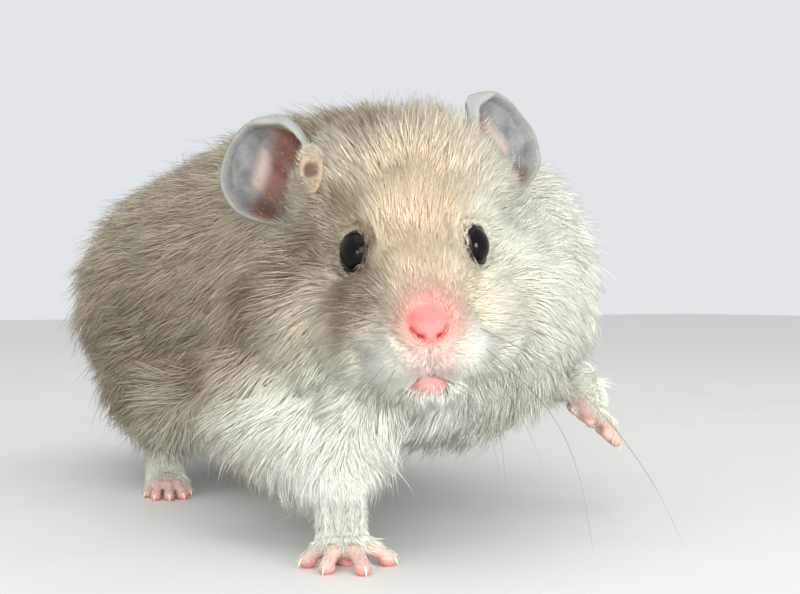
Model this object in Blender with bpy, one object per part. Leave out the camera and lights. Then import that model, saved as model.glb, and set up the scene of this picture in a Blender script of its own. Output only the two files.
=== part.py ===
"""Syrian hamster, life size, in mid-step: right forepaw planted, left forepaw lifted, head turned right.

Metres, +Z up. The trunk lies along Y with the head at -Y, and the animal's right side is -X.
The body is modelled whole, out to the tips of its coat, and is then parted with thin curved cuts.
Run with: blender --background --python part.py
"""

import math

import bmesh
import bpy
from mathutils import Matrix, Vector

# Sizes and places below are millimetres, turned into metres with MM.
MM = 0.001

# Width of the seams between neighbouring pieces.
SEAM = 0.3

# Triangles kept for each closed form once it has been smoothed. The head keeps more than the trunk.
FACE_TRIANGLES = 2800
BODY_TRIANGLES = 1850
FOREPAW_TRIANGLES = 260
HIND_FOOT_TRIANGLES = 260
TAIL_TRIANGLES = 100

# Grid steps of the remeshes that melt overlapping blobs into one form.
BODY_VOXEL = 0.8
PAW_VOXEL = 0.3
TAIL_VOXEL = 0.5

# The head's own frame sits midway between the eyes. Its finer triangles start this far forward.
FACE_REACH = -20
EYE_MIDPOINT = (-12.3, -52.0, 39.5)
HEAD_YAW = math.radians(-25)
HEAD_PITCH = math.radians(-6)
HEAD_ROLL = math.radians(4)

EYE_RADIUS = 3.1
EYE_PLACE = (6.7, -0.9, 0.0)

# The right ear is carried lower than the left, and opens more to the front. A lean is left,
# forward and up in the head's frame, and a facing is outward, forward and up.
EAR_BASE = (12.3, -13.3, 3.0)
EAR_LEAN = {"right": (-0.58, -0.20, 0.80), "left": (0.26, -0.20, 0.92)}
EAR_FACING = {"right": (0.44, 0.86, 0.0), "left": (0.70, 0.71, 0.0)}
EAR_HEIGHT = 18.5
EAR_WIDTH = 18.5
EAR_THICKNESS = 0.75
EAR_GRID = 7

# Half angle of the ear's arc seen along its height, at the funnel and at the tip.
EAR_FUNNEL_ARC = math.radians(125)
EAR_TIP_ARC = math.radians(48)

# The trunk's stations, from the neck back to the rump: a centre and radii, left, forward and up.
TRUNK_STEPS = 4
TRUNK_STATIONS = (
    ((-3, 36, 36.5), (19, 13, 20)),
    ((6.2, 25.5, 35.5), (29.3, 20, 25.5)),
    ((3.5, 8, 38), (28.5, 22, 27)),
    ((1, -14, 36), (29.5, 26, 28)),
    ((0, -38, 33), (31, 32, 27.5)),
)

TAIL_ROOT = (0.0, 64.0, 21.0)
TAIL_TIP = (1.0, 69.8, 17.0)
TAIL_RADII = (2.4, 1.3)

CLAW_LENGTH = 1.15
CLAW_RADII = (0.4, 0.14)
CLAW_DROOP = math.radians(24)

FUR_CREAM = (0.80, 0.66, 0.50)
FUR_FACE = (0.83, 0.68, 0.52)
FUR_WHITE = (0.88, 0.86, 0.80)
EAR_GREY = (0.52, 0.46, 0.46)
SKIN_PINK = (0.86, 0.50, 0.47)
NOSE_PINK = (0.90, 0.42, 0.42)
EYE_BLACK = (0.010, 0.008, 0.008)
CLAW_CREAM = (0.86, 0.78, 0.70)


class Frame:
    """An origin with left, forward and up axes, along which places are given in millimetres."""

    def __init__(self, origin, left, forward, up):
        self.origin = origin
        self.left = left
        self.forward = forward
        self.up = up

    @classmethod
    def turned(cls, origin, yaw=0.0, pitch=0.0, roll=0.0):
        """Yaw turns forward from -Y towards +X, pitch lifts it, and roll lifts the left side."""
        turn = Matrix.Rotation(yaw, 3, "Z")
        left = turn @ Vector((1, 0, 0))
        level = turn @ Vector((0, -1, 0))
        up = Vector((0, 0, 1))
        forward = level * math.cos(pitch) + up * math.sin(pitch)
        raised = up * math.cos(pitch) - level * math.sin(pitch)
        return cls(
            Vector(origin) * MM,
            left * math.cos(roll) + raised * math.sin(roll),
            forward,
            raised * math.cos(roll) - left * math.sin(roll),
        )

    def inner(self, place, up, facing):
        """A frame at a place in this one, with its up axis and about the facing that are given."""
        up = self.direction(*up).normalized()
        facing = self.direction(*facing)
        forward = (facing - up * facing.dot(up)).normalized()
        return Frame(self.at(*place), up.cross(-forward), forward, up)

    def direction(self, left, forward, up):
        return self.left * left + self.forward * forward + self.up * up

    def at(self, left, forward, up):
        """The world point at these millimetres along the axes."""
        return self.origin + self.direction(left, forward, up) * MM

    def matrix(self, place=(0, 0, 0)):
        """Places a shape there, with its X along left, its Y backward and its Z up."""
        axes = Matrix((self.left, -self.forward, self.up)).transposed()
        return Matrix.Translation(self.at(*place)) @ axes.to_4x4()


WORLD = Frame.turned((0, 0, 0))
HEAD = Frame.turned(EYE_MIDPOINT, HEAD_YAW, HEAD_PITCH, HEAD_ROLL)


class Foreleg:
    """A foreleg: its joints, and a paw frame on the middle of its palm, at the sole."""

    toe_radius = 0.95
    palm_blobs = (((0, 0, 1.95), (3.7, 2.8, 2.2)), ((0, -1.6, 3.6), (3.0, 2.5, 3.0)))
    triangles = FOREPAW_TRIANGLES

    def __init__(self, side, radii, shoulder, elbow, paw, wrist, toes):
        """Radii are the shoulder's and elbow's. Wrist and toes are places in the paw's frame."""
        self.side = side
        self.radii = radii
        self.shoulder = WORLD.at(*shoulder)
        self.elbow = WORLD.at(*elbow)
        self.paw = paw
        self.wrist = paw.at(*wrist)
        self.toes = toes

    def add_flesh(self, bm):
        """Upper arm and forearm, down to the wrist."""
        add_link(bm, self.shoulder, self.elbow, *self.radii)
        add_link(bm, self.elbow, self.wrist, self.radii[1], 3.2)


class Hindleg:
    """A hind leg: its joints, and a foot frame on the middle of its sole."""

    toe_radius = 0.9
    palm_blobs = (((0, 2.2, 1.65), (3.1, 3.0, 1.9)), ((0, -2.6, 2.05), (2.3, 4.4, 2.3)))
    triangles = HIND_FOOT_TRIANGLES

    def __init__(self, side, knee, paw, ankle, toes):
        """Ankle and toes are places in the foot's frame."""
        self.side = side
        self.knee = WORLD.at(*knee)
        self.paw = paw
        self.wrist = paw.at(*ankle)
        self.toes = toes

    def add_flesh(self, bm):
        """The shank, down to the ankle."""
        add_link(bm, self.knee, self.wrist, 8.5, 3.6)


# How far a planted toe is pressed flat on the floor.
TOE_SINK = 0.2

# Each toe: degrees outward from forward, reach of its tip and reach of its root.
SPREAD_FORE_TOES = ((-52, 6.0, 2.0), (-2, 7.7, 2.2), (34, 6.8, 2.2), (74, 5.4, 2.0))
LOOSE_FORE_TOES = ((-26, 5.2, 2.0), (-6, 6.4, 2.2), (14, 6.2, 2.2), (34, 5.2, 2.0))
HIND_TOES = ((-30, 6.2, 3.2), (-12, 9.0, 4.0), (2, 9.6, 4.2), (16, 9.0, 4.0), (34, 6.4, 3.2))

FORELEGS = (
    Foreleg(
        "right",
        (14.0, 11.5),
        (-15, 27, 30),
        (-20.5, 30, 18),
        Frame.turned((-21.8, -50.4, 0.0), math.radians(-12)),
        (0.0, -1.6, 8.4),
        SPREAD_FORE_TOES,
    ),
    Foreleg(
        "left",
        (12.0, 8.0),
        (18, 27, 31),
        (19.5, 30, 24),
        Frame.turned((26.6, -37.0, 14.6), math.radians(58), math.radians(-40)),
        (0.0, -3.6, 4.4),
        LOOSE_FORE_TOES,
    ),
)
HINDLEGS = (
    Hindleg(
        "right",
        (-21, -10, 16),
        Frame.turned((-23.0, 14.0, 0.0), math.radians(-14)),
        (0.0, -4.6, 7.0),
        HIND_TOES,
    ),
    Hindleg(
        "left",
        (18, -34, 16),
        Frame.turned((17.0, 28.5, 0.0), math.radians(10)),
        (0.0, -4.6, 7.0),
        HIND_TOES,
    ),
)


# Where the legs are parted from the body: a name, a centre and radii, in world millimetres.
LEG_REGIONS = (
    ("forearm_right", (-21, -44, 11.5), (12, 15, 10.5)),
    ("upper_arm_right", (-25, -28, 23), (13, 14, 15)),
    ("forearm_left", (25, -35, 18), (8, 8.5, 9)),
    ("upper_arm_left", (27, -26, 27), (13, 14, 15)),
    ("shank_right", (-22, 18, 8), (11, 13, 8)),
    ("thigh_right", (-28, 26, 22), (15, 20, 19)),
    ("shank_left", (18, 34, 8), (10, 11, 7.5)),
    ("thigh_left", (28, 30, 22), (15, 20, 19)),
)

# Where the trunk is parted behind the head, down to the rump, with territories that are nearly boxes.
TRUNK_SQUARENESS = 0.8
TRUNK_REGIONS = (
    ("neck", (0, -60, 50), (60, 40, 28)),
    ("chest", (0, -60, 10), (60, 40, 24)),
    ("trunk", (0, -10, 30), (60, 34, 55)),
)


class Region:
    """A rounded territory that a piece is taken from: an ellipsoid, or nearly a box, in a frame."""

    def __init__(self, frame, centre, radii, squareness=0.0):
        """With squareness above 0 the ellipsoid swells towards a rounded box."""
        self.frame = frame
        self.centre = centre
        self.radii = radii
        self.squareness = squareness

    def solid(self, growth):
        """The territory as a mesh, with its radii grown by so many millimetres."""
        bm = bmesh.new()
        bmesh.ops.create_icosphere(bm, subdivisions=2, radius=1.0)
        for vert in bm.verts:
            longest = max(abs(part) for part in vert.co)
            vert.co *= (1 / longest) ** self.squareness
        size = Matrix.Diagonal((*[(radius + growth) * MM for radius in self.radii], 1.0))
        matrix = self.frame.matrix(self.centre) @ size
        bmesh.ops.transform(bm, matrix=matrix, verts=bm.verts)
        return mesh_object("cutter", bm)


def clear_scene():
    """Removes whatever the scene holds."""
    for obj in list(bpy.data.objects):
        bpy.data.objects.remove(obj, do_unlink=True)


def make_material(name, colour, roughness, metallic=0.0):
    """A Principled material of one colour."""
    made = bpy.data.materials.new(name)
    made.use_nodes = True
    shader = made.node_tree.nodes["Principled BSDF"]
    shader.inputs["Base Color"].default_value = (*colour, 1.0)
    shader.inputs["Roughness"].default_value = roughness
    shader.inputs["Metallic"].default_value = metallic
    made.diffuse_color = (*colour, 1.0)
    return made


def new_object(name, mesh):
    """An object of the mesh, in the scene."""
    obj = bpy.data.objects.new(name, mesh)
    bpy.context.scene.collection.objects.link(obj)
    return obj


def mesh_object(name, bm):
    """The bmesh as an object, with its faces turned outwards."""
    bmesh.ops.recalc_face_normals(bm, faces=bm.faces)
    mesh = bpy.data.meshes.new(name)
    bm.to_mesh(mesh)
    bm.free()
    return new_object(name, mesh)


def remove(obj):
    """Takes a finished helper out of the scene."""
    bpy.data.objects.remove(obj, do_unlink=True)


def applied(obj, name):
    """The object with its modifiers made part of its mesh."""
    bpy.context.view_layer.update()
    graph = bpy.context.evaluated_depsgraph_get()
    mesh = bpy.data.meshes.new_from_object(obj.evaluated_get(graph))
    remove(obj)
    return new_object(name, mesh)


def copy_of(obj, name):
    """A second object with its own copy of the mesh."""
    return new_object(name, obj.data.copy())


def facing(direction):
    """A rotation that turns +Z along the direction."""
    return direction.normalized().to_track_quat("Z", "Y").to_matrix().to_4x4()


def add_blob(bm, frame, centre, radii):
    """An ellipsoid at a place in the frame, its radii along left, forward and up."""
    size = Matrix.Diagonal((*(Vector(radii) * MM), 1.0))
    bmesh.ops.create_icosphere(bm, subdivisions=3, radius=1.0, matrix=frame.matrix(centre) @ size)


def add_link(bm, start, end, start_radius, end_radius):
    """A rounded tapering limb between two world points: a run of balls and a cone through them."""
    along = end - start
    steps = 6
    for step in range(steps + 1):
        share = step / steps
        radius = start_radius + (end_radius - start_radius) * share
        place = Matrix.Translation(start + along * share)
        bmesh.ops.create_icosphere(bm, subdivisions=2, radius=radius * MM, matrix=place)
    bmesh.ops.create_cone(
        bm,
        cap_ends=True,
        segments=16,
        radius1=start_radius * MM,
        radius2=end_radius * MM,
        depth=along.length,
        matrix=Matrix.Translation(start + along / 2) @ facing(along),
    )


def melted(name, bm, voxel, smoothing, triangles):
    """The overlapping forms as one smooth closed body of about so many triangles."""
    obj = mesh_object(name, bm)
    remesh = obj.modifiers.new("melt", "REMESH")
    remesh.mode = "VOXEL"
    remesh.voxel_size = voxel * MM
    smooth = obj.modifiers.new("soften", "SMOOTH")
    smooth.factor = 0.5
    smooth.iterations = smoothing
    obj.modifiers.new("triangles", "TRIANGULATE")
    return thinned(applied(obj, name), triangles)


def thinned(obj, triangles, group=""):
    """The object with so many triangles, taken from all of it or from one vertex group."""
    fewer = obj.modifiers.new("fewer", "DECIMATE")
    fewer.ratio = min(1.0, triangles / len(obj.data.polygons))
    fewer.vertex_group = group
    return applied(obj, obj.name)


def combine(obj, other, operation):
    """The object cut by another or kept within it. The other stays."""
    step = obj.modifiers.new("step", "BOOLEAN")
    step.operation = operation
    step.solver = "EXACT"
    step.object = other
    return applied(obj, obj.name)


def body_of(seed, unseen):
    """All the vertices joined to the seed, taken out of the unseen ones."""
    found = {seed}
    stack = [seed]
    while stack:
        for edge in stack.pop().link_edges:
            for vert in set(edge.verts) & unseen:
                unseen.discard(vert)
                found.add(vert)
                stack.append(vert)
    return found


def without_crumbs(obj):
    """Keeps the largest closed body, and drops the crumbs that a cut may leave."""
    bm = bmesh.new()
    bm.from_mesh(obj.data)
    bmesh.ops.triangulate(bm, faces=bm.faces)
    unseen = set(bm.verts)
    bodies = []
    while unseen:
        bodies.append(body_of(unseen.pop(), unseen))
    bodies.sort(key=len)
    for crumb in bodies[:-1]:
        bmesh.ops.delete(bm, geom=list(crumb), context="VERTS")
    bm.to_mesh(obj.data)
    bm.free()
    return obj


def grown(obj, distance):
    """A copy of the object, its surface moved outwards by so many millimetres."""
    copy = copy_of(obj, "cutter")
    push = copy.modifiers.new("grow", "DISPLACE")
    push.mid_level = 0.0
    push.strength = distance * MM
    return applied(copy, "cutter")


def part_off(rest, name, region):
    """Takes what lies in the region off the rest as a named piece, and leaves a thin seam."""
    cutter = region.solid(0.0)
    piece = without_crumbs(combine(copy_of(rest, name), cutter, "INTERSECT"))
    remove(cutter)
    wider = region.solid(SEAM)
    rest = without_crumbs(combine(rest, wider, "DIFFERENCE"))
    remove(wider)
    return piece, rest


def make_room(rest, piece):
    """Cuts the rest back from a finished piece, and leaves a thin seam."""
    cutter = grown(piece, SEAM)
    rest = without_crumbs(combine(rest, cutter, "DIFFERENCE"))
    remove(cutter)
    return rest


def add_head(bm):
    """The head's blobs: cranium, brow, snout, whisker pads, cheeks and chin."""
    add_blob(bm, HEAD, (0, -13.5, 4.5), (17.0, 14.0, 14.8))
    add_blob(bm, HEAD, (0, -3.0, 1.8), (8.0, 8.0, 9.0))
    add_blob(bm, HEAD, (0, -15.0, -6.0), (18.0, 16.0, 15.0))
    add_link(bm, HEAD.at(0, 0, -2.8), HEAD.at(0, 11.2, -8.6), 8.0, 4.7)
    add_blob(bm, HEAD, (0, 3.2, -15.5), (6.8, 8.2, 4.6))
    for side in (-1, 1):
        add_blob(bm, HEAD, (side * 3.7, 9.4, -11.6), (4.6, 5.4, 4.3))
        add_blob(bm, HEAD, (side * 7.0, 0.5, -10.0), (7.2, 8.0, 8.0))
        add_blob(bm, HEAD, (side * 12.2, -12.5, -8.0), (11.6, 13.4, 12.8))


def add_trunk(bm):
    """The trunk, as ellipsoids that run along its stations, with the scruff, breast and haunches."""
    for (start, start_radii), (end, end_radii) in zip(TRUNK_STATIONS, TRUNK_STATIONS[1:]):
        for step in range(TRUNK_STEPS + 1):
            share = step / TRUNK_STEPS
            centre = Vector(start).lerp(Vector(end), share)
            radii = Vector(start_radii).lerp(Vector(end_radii), share)
            add_blob(bm, WORLD, centre, radii)
    add_blob(bm, WORLD, (-2, 32.5, 40), (21, 16, 22))
    add_blob(bm, WORLD, (-7, 40, 27), (19, 14, 13))
    add_link(bm, WORLD.at(-11, 40, 22), WORLD.at(-18.8, 46, 12.5), 9.0, 5.0)
    for side in (-1, 1):
        add_blob(bm, WORLD, (side * 18, -24, 22), (13, 19, 17))


def whole_body():
    """Head, trunk and legs as one smooth form."""
    bm = bmesh.new()
    add_head(bm)
    add_trunk(bm)
    for leg in FORELEGS + HINDLEGS:
        leg.add_flesh(bm)
    body = melted("body", bm, BODY_VOXEL, 12, FACE_TRIANGLES)
    behind = body.vertex_groups.new(name="behind")
    for vert in body.data.vertices:
        if (vert.co - HEAD.origin).dot(HEAD.forward) < FACE_REACH * MM:
            behind.add([vert.index], 1.0, "REPLACE")
    return thinned(body, BODY_TRIANGLES, behind.name)


def toe_line(leg, toe):
    """A toe's root and tip as places in its paw's frame."""
    angle, reach, root = toe
    outward = -1 if leg.side == "right" else 1
    across = math.sin(math.radians(angle)) * outward
    along = math.cos(math.radians(angle))
    base = (across * root, along * root, 1.8)
    tip = (across * reach, along * reach, leg.toe_radius - TOE_SINK)
    return base, tip


def paw_of(leg, name, planted):
    """The paw with its toes, cut flat at the wrist and, if it stands, at the floor."""
    bm = bmesh.new()
    for centre, radii in leg.palm_blobs:
        add_blob(bm, leg.paw, centre, radii)
    add_link(bm, leg.paw.at(0, -1.5, 3.0), leg.wrist, 2.5, 2.9)
    for toe in leg.toes:
        base, tip = toe_line(leg, toe)
        middle = [(a + b) / 2 for a, b in zip(base, tip)]
        middle[2] += 0.55
        add_link(bm, leg.paw.at(*base), leg.paw.at(*middle), leg.toe_radius * 1.2, leg.toe_radius)
        add_link(bm, leg.paw.at(*middle), leg.paw.at(*tip), leg.toe_radius, leg.toe_radius)
    paw = melted(name, bm, PAW_VOXEL, 2, leg.triangles)
    bm = bmesh.new()
    bm.from_mesh(paw.data)
    if planted:
        slice_off(bm, Vector((0, 0, 0)), Vector((0, 0, -1)))
    wrist_axis = (leg.wrist - leg.paw.at(0, -1.5, 3.0)).normalized()
    slice_off(bm, leg.wrist - wrist_axis * 1.4 * MM, wrist_axis)
    bmesh.ops.triangulate(bm, faces=bm.faces)
    bm.to_mesh(paw.data)
    bm.free()
    return paw


def slice_off(bm, point, outward):
    """Removes what lies beyond a plane, and closes the cut with a flat face."""
    cut = bmesh.ops.bisect_plane(
        bm,
        geom=bm.verts[:] + bm.edges[:] + bm.faces[:],
        dist=1e-6,
        plane_co=point,
        plane_no=outward,
        clear_outer=True,
    )
    rim = [item for item in cut["geom_cut"] if isinstance(item, bmesh.types.BMEdge)]
    bmesh.ops.holes_fill(bm, edges=rim, sides=0)


def add_claws(leg, name, colour):
    """One small cone beyond each toe's tip, a seam away from it."""
    for number, toe in enumerate(leg.toes, start=1):
        base, tip = (Vector(place) for place in toe_line(leg, toe))
        level = Vector((tip.x - base.x, tip.y - base.y, 0)).normalized()
        along = level * math.cos(CLAW_DROOP) + Vector((0, 0, -1)) * math.sin(CLAW_DROOP)
        start = tip + level * (leg.toe_radius + SEAM) + Vector((0, 0, 0.45))
        middle = start + along * CLAW_LENGTH / 2
        bm = bmesh.new()
        bmesh.ops.create_cone(
            bm,
            cap_ends=True,
            segments=6,
            radius1=CLAW_RADII[0] * MM,
            radius2=CLAW_RADII[1] * MM,
            depth=CLAW_LENGTH * MM,
            matrix=Matrix.Translation(leg.paw.at(*middle)) @ facing(leg.paw.direction(*along)),
        )
        bmesh.ops.triangulate(bm, faces=bm.faces)
        dress(mesh_object(f"{name}_{number}", bm), colour)


def ear_of(side, word):
    """A cupped ear: a round grid bent into a funnel at its root and a shallow dish at its tip."""
    base = (side * EAR_BASE[0], EAR_BASE[1], EAR_BASE[2])
    outward, ahead, upward = EAR_FACING[word]
    look = (side * outward, ahead, upward)
    frame = HEAD.inner(base, EAR_LEAN[word], look)
    bm = bmesh.new()
    bmesh.ops.create_grid(bm, x_segments=EAR_GRID, y_segments=EAR_GRID, size=1.0)
    for vert in bm.verts:
        # The square grid becomes a disc, and the disc an arc across and a height.
        across = vert.co.x * math.sqrt(1 - vert.co.y**2 / 2)
        height = (vert.co.y * math.sqrt(1 - vert.co.x**2 / 2) + 1) / 2
        narrow = 0.62 + 0.38 * min(1.0, height / 0.5)
        arc = EAR_FUNNEL_ARC + (EAR_TIP_ARC - EAR_FUNNEL_ARC) * math.sqrt(height)
        radius = EAR_WIDTH / 2 * narrow / arc
        turn = across * arc
        left = radius * math.sin(turn)
        forward = radius * (math.cos(arc) - math.cos(turn))
        flare = 2.2 * (height - 0.4) ** 2
        vert.co = frame.at(left, forward - flare, height * EAR_HEIGHT)
    shell = mesh_object(f"ear_{word}", bm)
    thick = shell.modifiers.new("thickness", "SOLIDIFY")
    thick.thickness = EAR_THICKNESS * MM
    thick.offset = 0.0
    shell.modifiers.new("triangles", "TRIANGULATE")
    return applied(shell, f"ear_{word}")


def eye_of(side, name):
    """The eyeball."""
    bm = bmesh.new()
    place = HEAD.matrix((side * EYE_PLACE[0], EYE_PLACE[1], EYE_PLACE[2]))
    bmesh.ops.create_icosphere(bm, subdivisions=2, radius=EYE_RADIUS * MM, matrix=place)
    return mesh_object(name, bm)


def tail_form():
    """The short stump of a tail."""
    bm = bmesh.new()
    add_link(bm, WORLD.at(*flipped(TAIL_ROOT)), WORLD.at(*flipped(TAIL_TIP)), *TAIL_RADII)
    return melted("tail", bm, TAIL_VOXEL, 3, TAIL_TRIANGLES)


def flipped(place):
    """World millimetres as left, forward and up."""
    return (place[0], -place[1], place[2])


def dress(obj, colour):
    """Gives a finished piece its material and smooth shading."""
    obj.data.materials.clear()
    obj.data.materials.append(colour)
    obj.data.shade_smooth()


def part_body(body, looks):
    """Parts the whole body into its named pieces, from the head back to the rump."""
    head, body = part_off(body, "head", Region(HEAD, (0, -3, 0), (27, 24, 25)))
    nose, head = part_off(head, "nose", Region(HEAD, (0, 14.9, -8.0), (4.4, 3.6, 4.4)))
    jaw, head = part_off(head, "lower_jaw", Region(HEAD, (0, 4, -20.6), (8.5, 12, 6.2)))
    muzzle, head = part_off(head, "muzzle", Region(HEAD, (0, 12, -9), (11, 10.5, 10)))
    for piece in (head, jaw, muzzle):
        dress(piece, looks["face"])
    dress(nose, looks["nose"])
    for name, place, radii in LEG_REGIONS:
        piece, body = part_off(body, name, Region(WORLD, flipped(place), radii))
        dress(piece, looks["white"] if "arm" in name else looks["fur"])
    for name, place, radii in TRUNK_REGIONS:
        piece, body = part_off(body, name, Region(WORLD, flipped(place), radii, TRUNK_SQUARENESS))
        dress(piece, looks["white"] if name == "chest" else looks["fur"])
    body.name = "rump"
    dress(body, looks["fur"])


def stand_in_the_middle():
    """Moves every piece so that the box round them all is centred on Z and stands on the floor."""
    corners = [vert.co for obj in bpy.data.objects for vert in obj.data.vertices]
    low = [min(corner[axis] for corner in corners) for axis in range(3)]
    high = [max(corner[axis] for corner in corners) for axis in range(3)]
    middle = Vector(((low[0] + high[0]) / 2, (low[1] + high[1]) / 2, low[2]))
    for obj in bpy.data.objects:
        obj.data.transform(Matrix.Translation(-middle))
    print("moved by", [round(-part / MM, 3) for part in middle])


def main():
    """Builds the animal."""
    clear_scene()
    fur = make_material("fur_cream", FUR_CREAM, 0.85)
    face = make_material("fur_face", FUR_FACE, 0.85)
    white = make_material("fur_white", FUR_WHITE, 0.85)
    ear_skin = make_material("ear_skin", EAR_GREY, 0.6)
    pink = make_material("paw_skin", SKIN_PINK, 0.5)
    nose_pink = make_material("nose_skin", NOSE_PINK, 0.4)
    black = make_material("eye", EYE_BLACK, 0.05)
    horn = make_material("claw", CLAW_CREAM, 0.4)

    body = whole_body()
    eyes = {}
    for side, word in ((-1, "right"), (1, "left")):
        eye = eye_of(side, f"eye_{word}")
        body = make_room(body, eye)
        dress(eye, black)
        ear = ear_of(side, word)
        outside = grown(body, SEAM)
        ear = without_crumbs(combine(ear, outside, "DIFFERENCE"))
        remove(outside)
        dress(ear, ear_skin)

    tail = tail_form()
    outside = grown(body, SEAM)
    tail = without_crumbs(combine(tail, outside, "DIFFERENCE"))
    remove(outside)
    dress(tail, pink)

    for leg in FORELEGS:
        paw = paw_of(leg, f"forepaw_{leg.side}", leg.side == "right")
        body = make_room(body, paw)
        dress(paw, pink)
        add_claws(leg, f"fore_claw_{leg.side}", horn)
    for leg in HINDLEGS:
        paw = paw_of(leg, f"hind_foot_{leg.side}", True)
        body = make_room(body, paw)
        dress(paw, pink)
        add_claws(leg, f"hind_claw_{leg.side}", horn)

    part_body(body, {"fur": fur, "face": face, "white": white, "nose": nose_pink})
    stand_in_the_middle()


if __name__ == "__main__":
    main()
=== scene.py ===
"""Looks of a life-size Syrian hamster in mid-step: skin, coat, eyes, ears, paws, claws and whiskers."""

import logging
import math
from dataclasses import dataclass, field
from enum import Enum

import bmesh
import bpy
import numpy as np
from mathutils import Matrix, Vector
from mathutils.bvhtree import BVHTree
from mathutils.kdtree import KDTree


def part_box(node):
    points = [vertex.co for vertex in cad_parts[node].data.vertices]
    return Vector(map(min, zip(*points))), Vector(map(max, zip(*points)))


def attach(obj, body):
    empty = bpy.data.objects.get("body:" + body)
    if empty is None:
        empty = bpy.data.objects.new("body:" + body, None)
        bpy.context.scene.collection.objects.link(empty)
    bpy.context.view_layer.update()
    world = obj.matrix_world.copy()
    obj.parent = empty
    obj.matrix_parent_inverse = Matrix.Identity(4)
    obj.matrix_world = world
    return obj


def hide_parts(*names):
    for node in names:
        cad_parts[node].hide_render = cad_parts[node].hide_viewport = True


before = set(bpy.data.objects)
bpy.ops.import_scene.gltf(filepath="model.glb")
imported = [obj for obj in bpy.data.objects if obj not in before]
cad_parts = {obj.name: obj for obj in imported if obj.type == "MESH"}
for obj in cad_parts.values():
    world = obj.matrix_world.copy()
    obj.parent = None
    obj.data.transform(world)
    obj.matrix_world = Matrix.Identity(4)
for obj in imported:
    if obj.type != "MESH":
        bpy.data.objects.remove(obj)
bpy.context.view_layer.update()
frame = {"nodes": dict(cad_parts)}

LOG = logging.getLogger("hamster")

Pair = tuple[float, float]
Triple = tuple[float, float, float]
Quad = tuple[float, float, float, float]
Line = tuple[Pair, ...]
Colours = tuple[Quad, Quad]
Array = np.ndarray
Shape = bmesh.types.BMesh
Mesh = bpy.types.Mesh
Piece = bpy.types.Object
Material = bpy.types.Material
Tree = bpy.types.NodeTree
Socket = bpy.types.NodeSocket

MM = 0.001
ROOT_BODY = "root"

# A quick try grows this share of the coat.
COAT_SHARE = 1.0

HEAD_YAW = math.radians(-25)
HEAD_PITCH = math.radians(-6)
HEAD_ROLL = math.radians(4)
# The head's origin lies this many millimetres before the middle between the eyes.
HEAD_AHEAD = 0.9

FLESH_NODES = (
    "head", "muzzle", "nose", "lower_jaw", "neck", "chest", "trunk", "rump", "tail",
    "upper_arm_right", "upper_arm_left", "forearm_right", "forearm_left", "thigh_right",
    "thigh_left", "shank_right", "shank_left",
)


class Side(Enum):
    """The animal's own sides."""

    RIGHT = "right"
    LEFT = "left"

    @property
    def sign(self) -> int:
        """-1 on the right, where the head's left axis is negative, and 1 on the left."""
        return -1 if self is Side.RIGHT else 1


@dataclass
class Frame:
    """An origin in metres with left, forward and up axes, along which places are in millimetres."""

    origin: Vector
    left: Vector
    forward: Vector
    up: Vector

    @classmethod
    def turned(cls, origin: Vector, yaw: float = 0.0, pitch: float = 0.0, roll: float = 0.0) -> "Frame":
        """A frame that looks along -Y until it is turned.

        Args:
            origin: The world place of the origin, in metres.
            yaw: Turns forward from -Y towards +X.
            pitch: Lifts forward.
            roll: Lifts the left side.

        Returns:
            The frame.
        """
        turn = Matrix.Rotation(yaw, 3, "Z")
        left = turn @ Vector((1, 0, 0))
        level = turn @ Vector((0, -1, 0))
        up = Vector((0, 0, 1))
        forward = level * math.cos(pitch) + up * math.sin(pitch)
        raised = up * math.cos(pitch) - level * math.sin(pitch)
        return cls(
            origin,
            left * math.cos(roll) + raised * math.sin(roll),
            forward,
            raised * math.cos(roll) - left * math.sin(roll),
        )

    def at(self, left: float, forward: float, up: float) -> Vector:
        """The world place of these millimetres along the axes."""
        return self.origin + self.direction(left, forward, up) * MM

    def direction(self, left: float, forward: float, up: float) -> Vector:
        """A world direction from one along the axes."""
        return self.left * left + self.forward * forward + self.up * up

    def matrix(self, place: Triple = (0, 0, 0)) -> Matrix:
        """Puts a shape at a place, with its X along left, its Y backward and its Z up."""
        axes = Matrix((self.left, -self.forward, self.up)).transposed()
        return Matrix.Translation(self.at(*place)) @ axes.to_4x4()

    def local(self, points: Array) -> Array:
        """World points in metres as left, forward and up in millimetres."""
        axes = np.array((self.left, self.forward, self.up))
        return (points - np.array(self.origin)) @ axes.T / MM


def box_middle(node: str) -> Vector:
    """The middle of a CAD node's box."""
    low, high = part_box(node)
    return (Vector(low) + Vector(high)) / 2


EYE_RADIUS = (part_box("eye_left")[1][0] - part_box("eye_left")[0][0]) / 2
EYE_CENTRES = {side: box_middle(f"eye_{side.value}") for side in Side}
HEAD = Frame.turned((EYE_CENTRES[Side.RIGHT] + EYE_CENTRES[Side.LEFT]) / 2, HEAD_YAW, HEAD_PITCH, HEAD_ROLL)
HEAD.origin = HEAD.at(0, HEAD_AHEAD, 0)


def from_eye(side: Side, points: Array) -> Array:
    """World points as ways from an eye's centre."""
    return points - np.array(EYE_CENTRES[side])


def spot(place: Triple, on_head: bool) -> Vector:
    """The world place of millimetres in the head's frame or in the world's."""
    return HEAD.at(*place) if on_head else Vector(place) * MM


def linear(red: float, green: float, blue: float) -> Quad:
    """A display colour of 0 to 255 as linear light with alpha."""
    shares = [value / 255 for value in (red, green, blue)]
    curve = [s / 12.92 if s <= 0.04045 else ((s + 0.055) / 1.055) ** 2.4 for s in shares]
    return (*curve, 1.0)


# Meshes


def new_object(name: str, data: bpy.types.ID) -> Piece:
    """An object of a mesh, lamp or camera, in the scene at the origin."""
    made = bpy.data.objects.new(name, data)
    bpy.context.scene.collection.objects.link(made)
    return made


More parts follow.
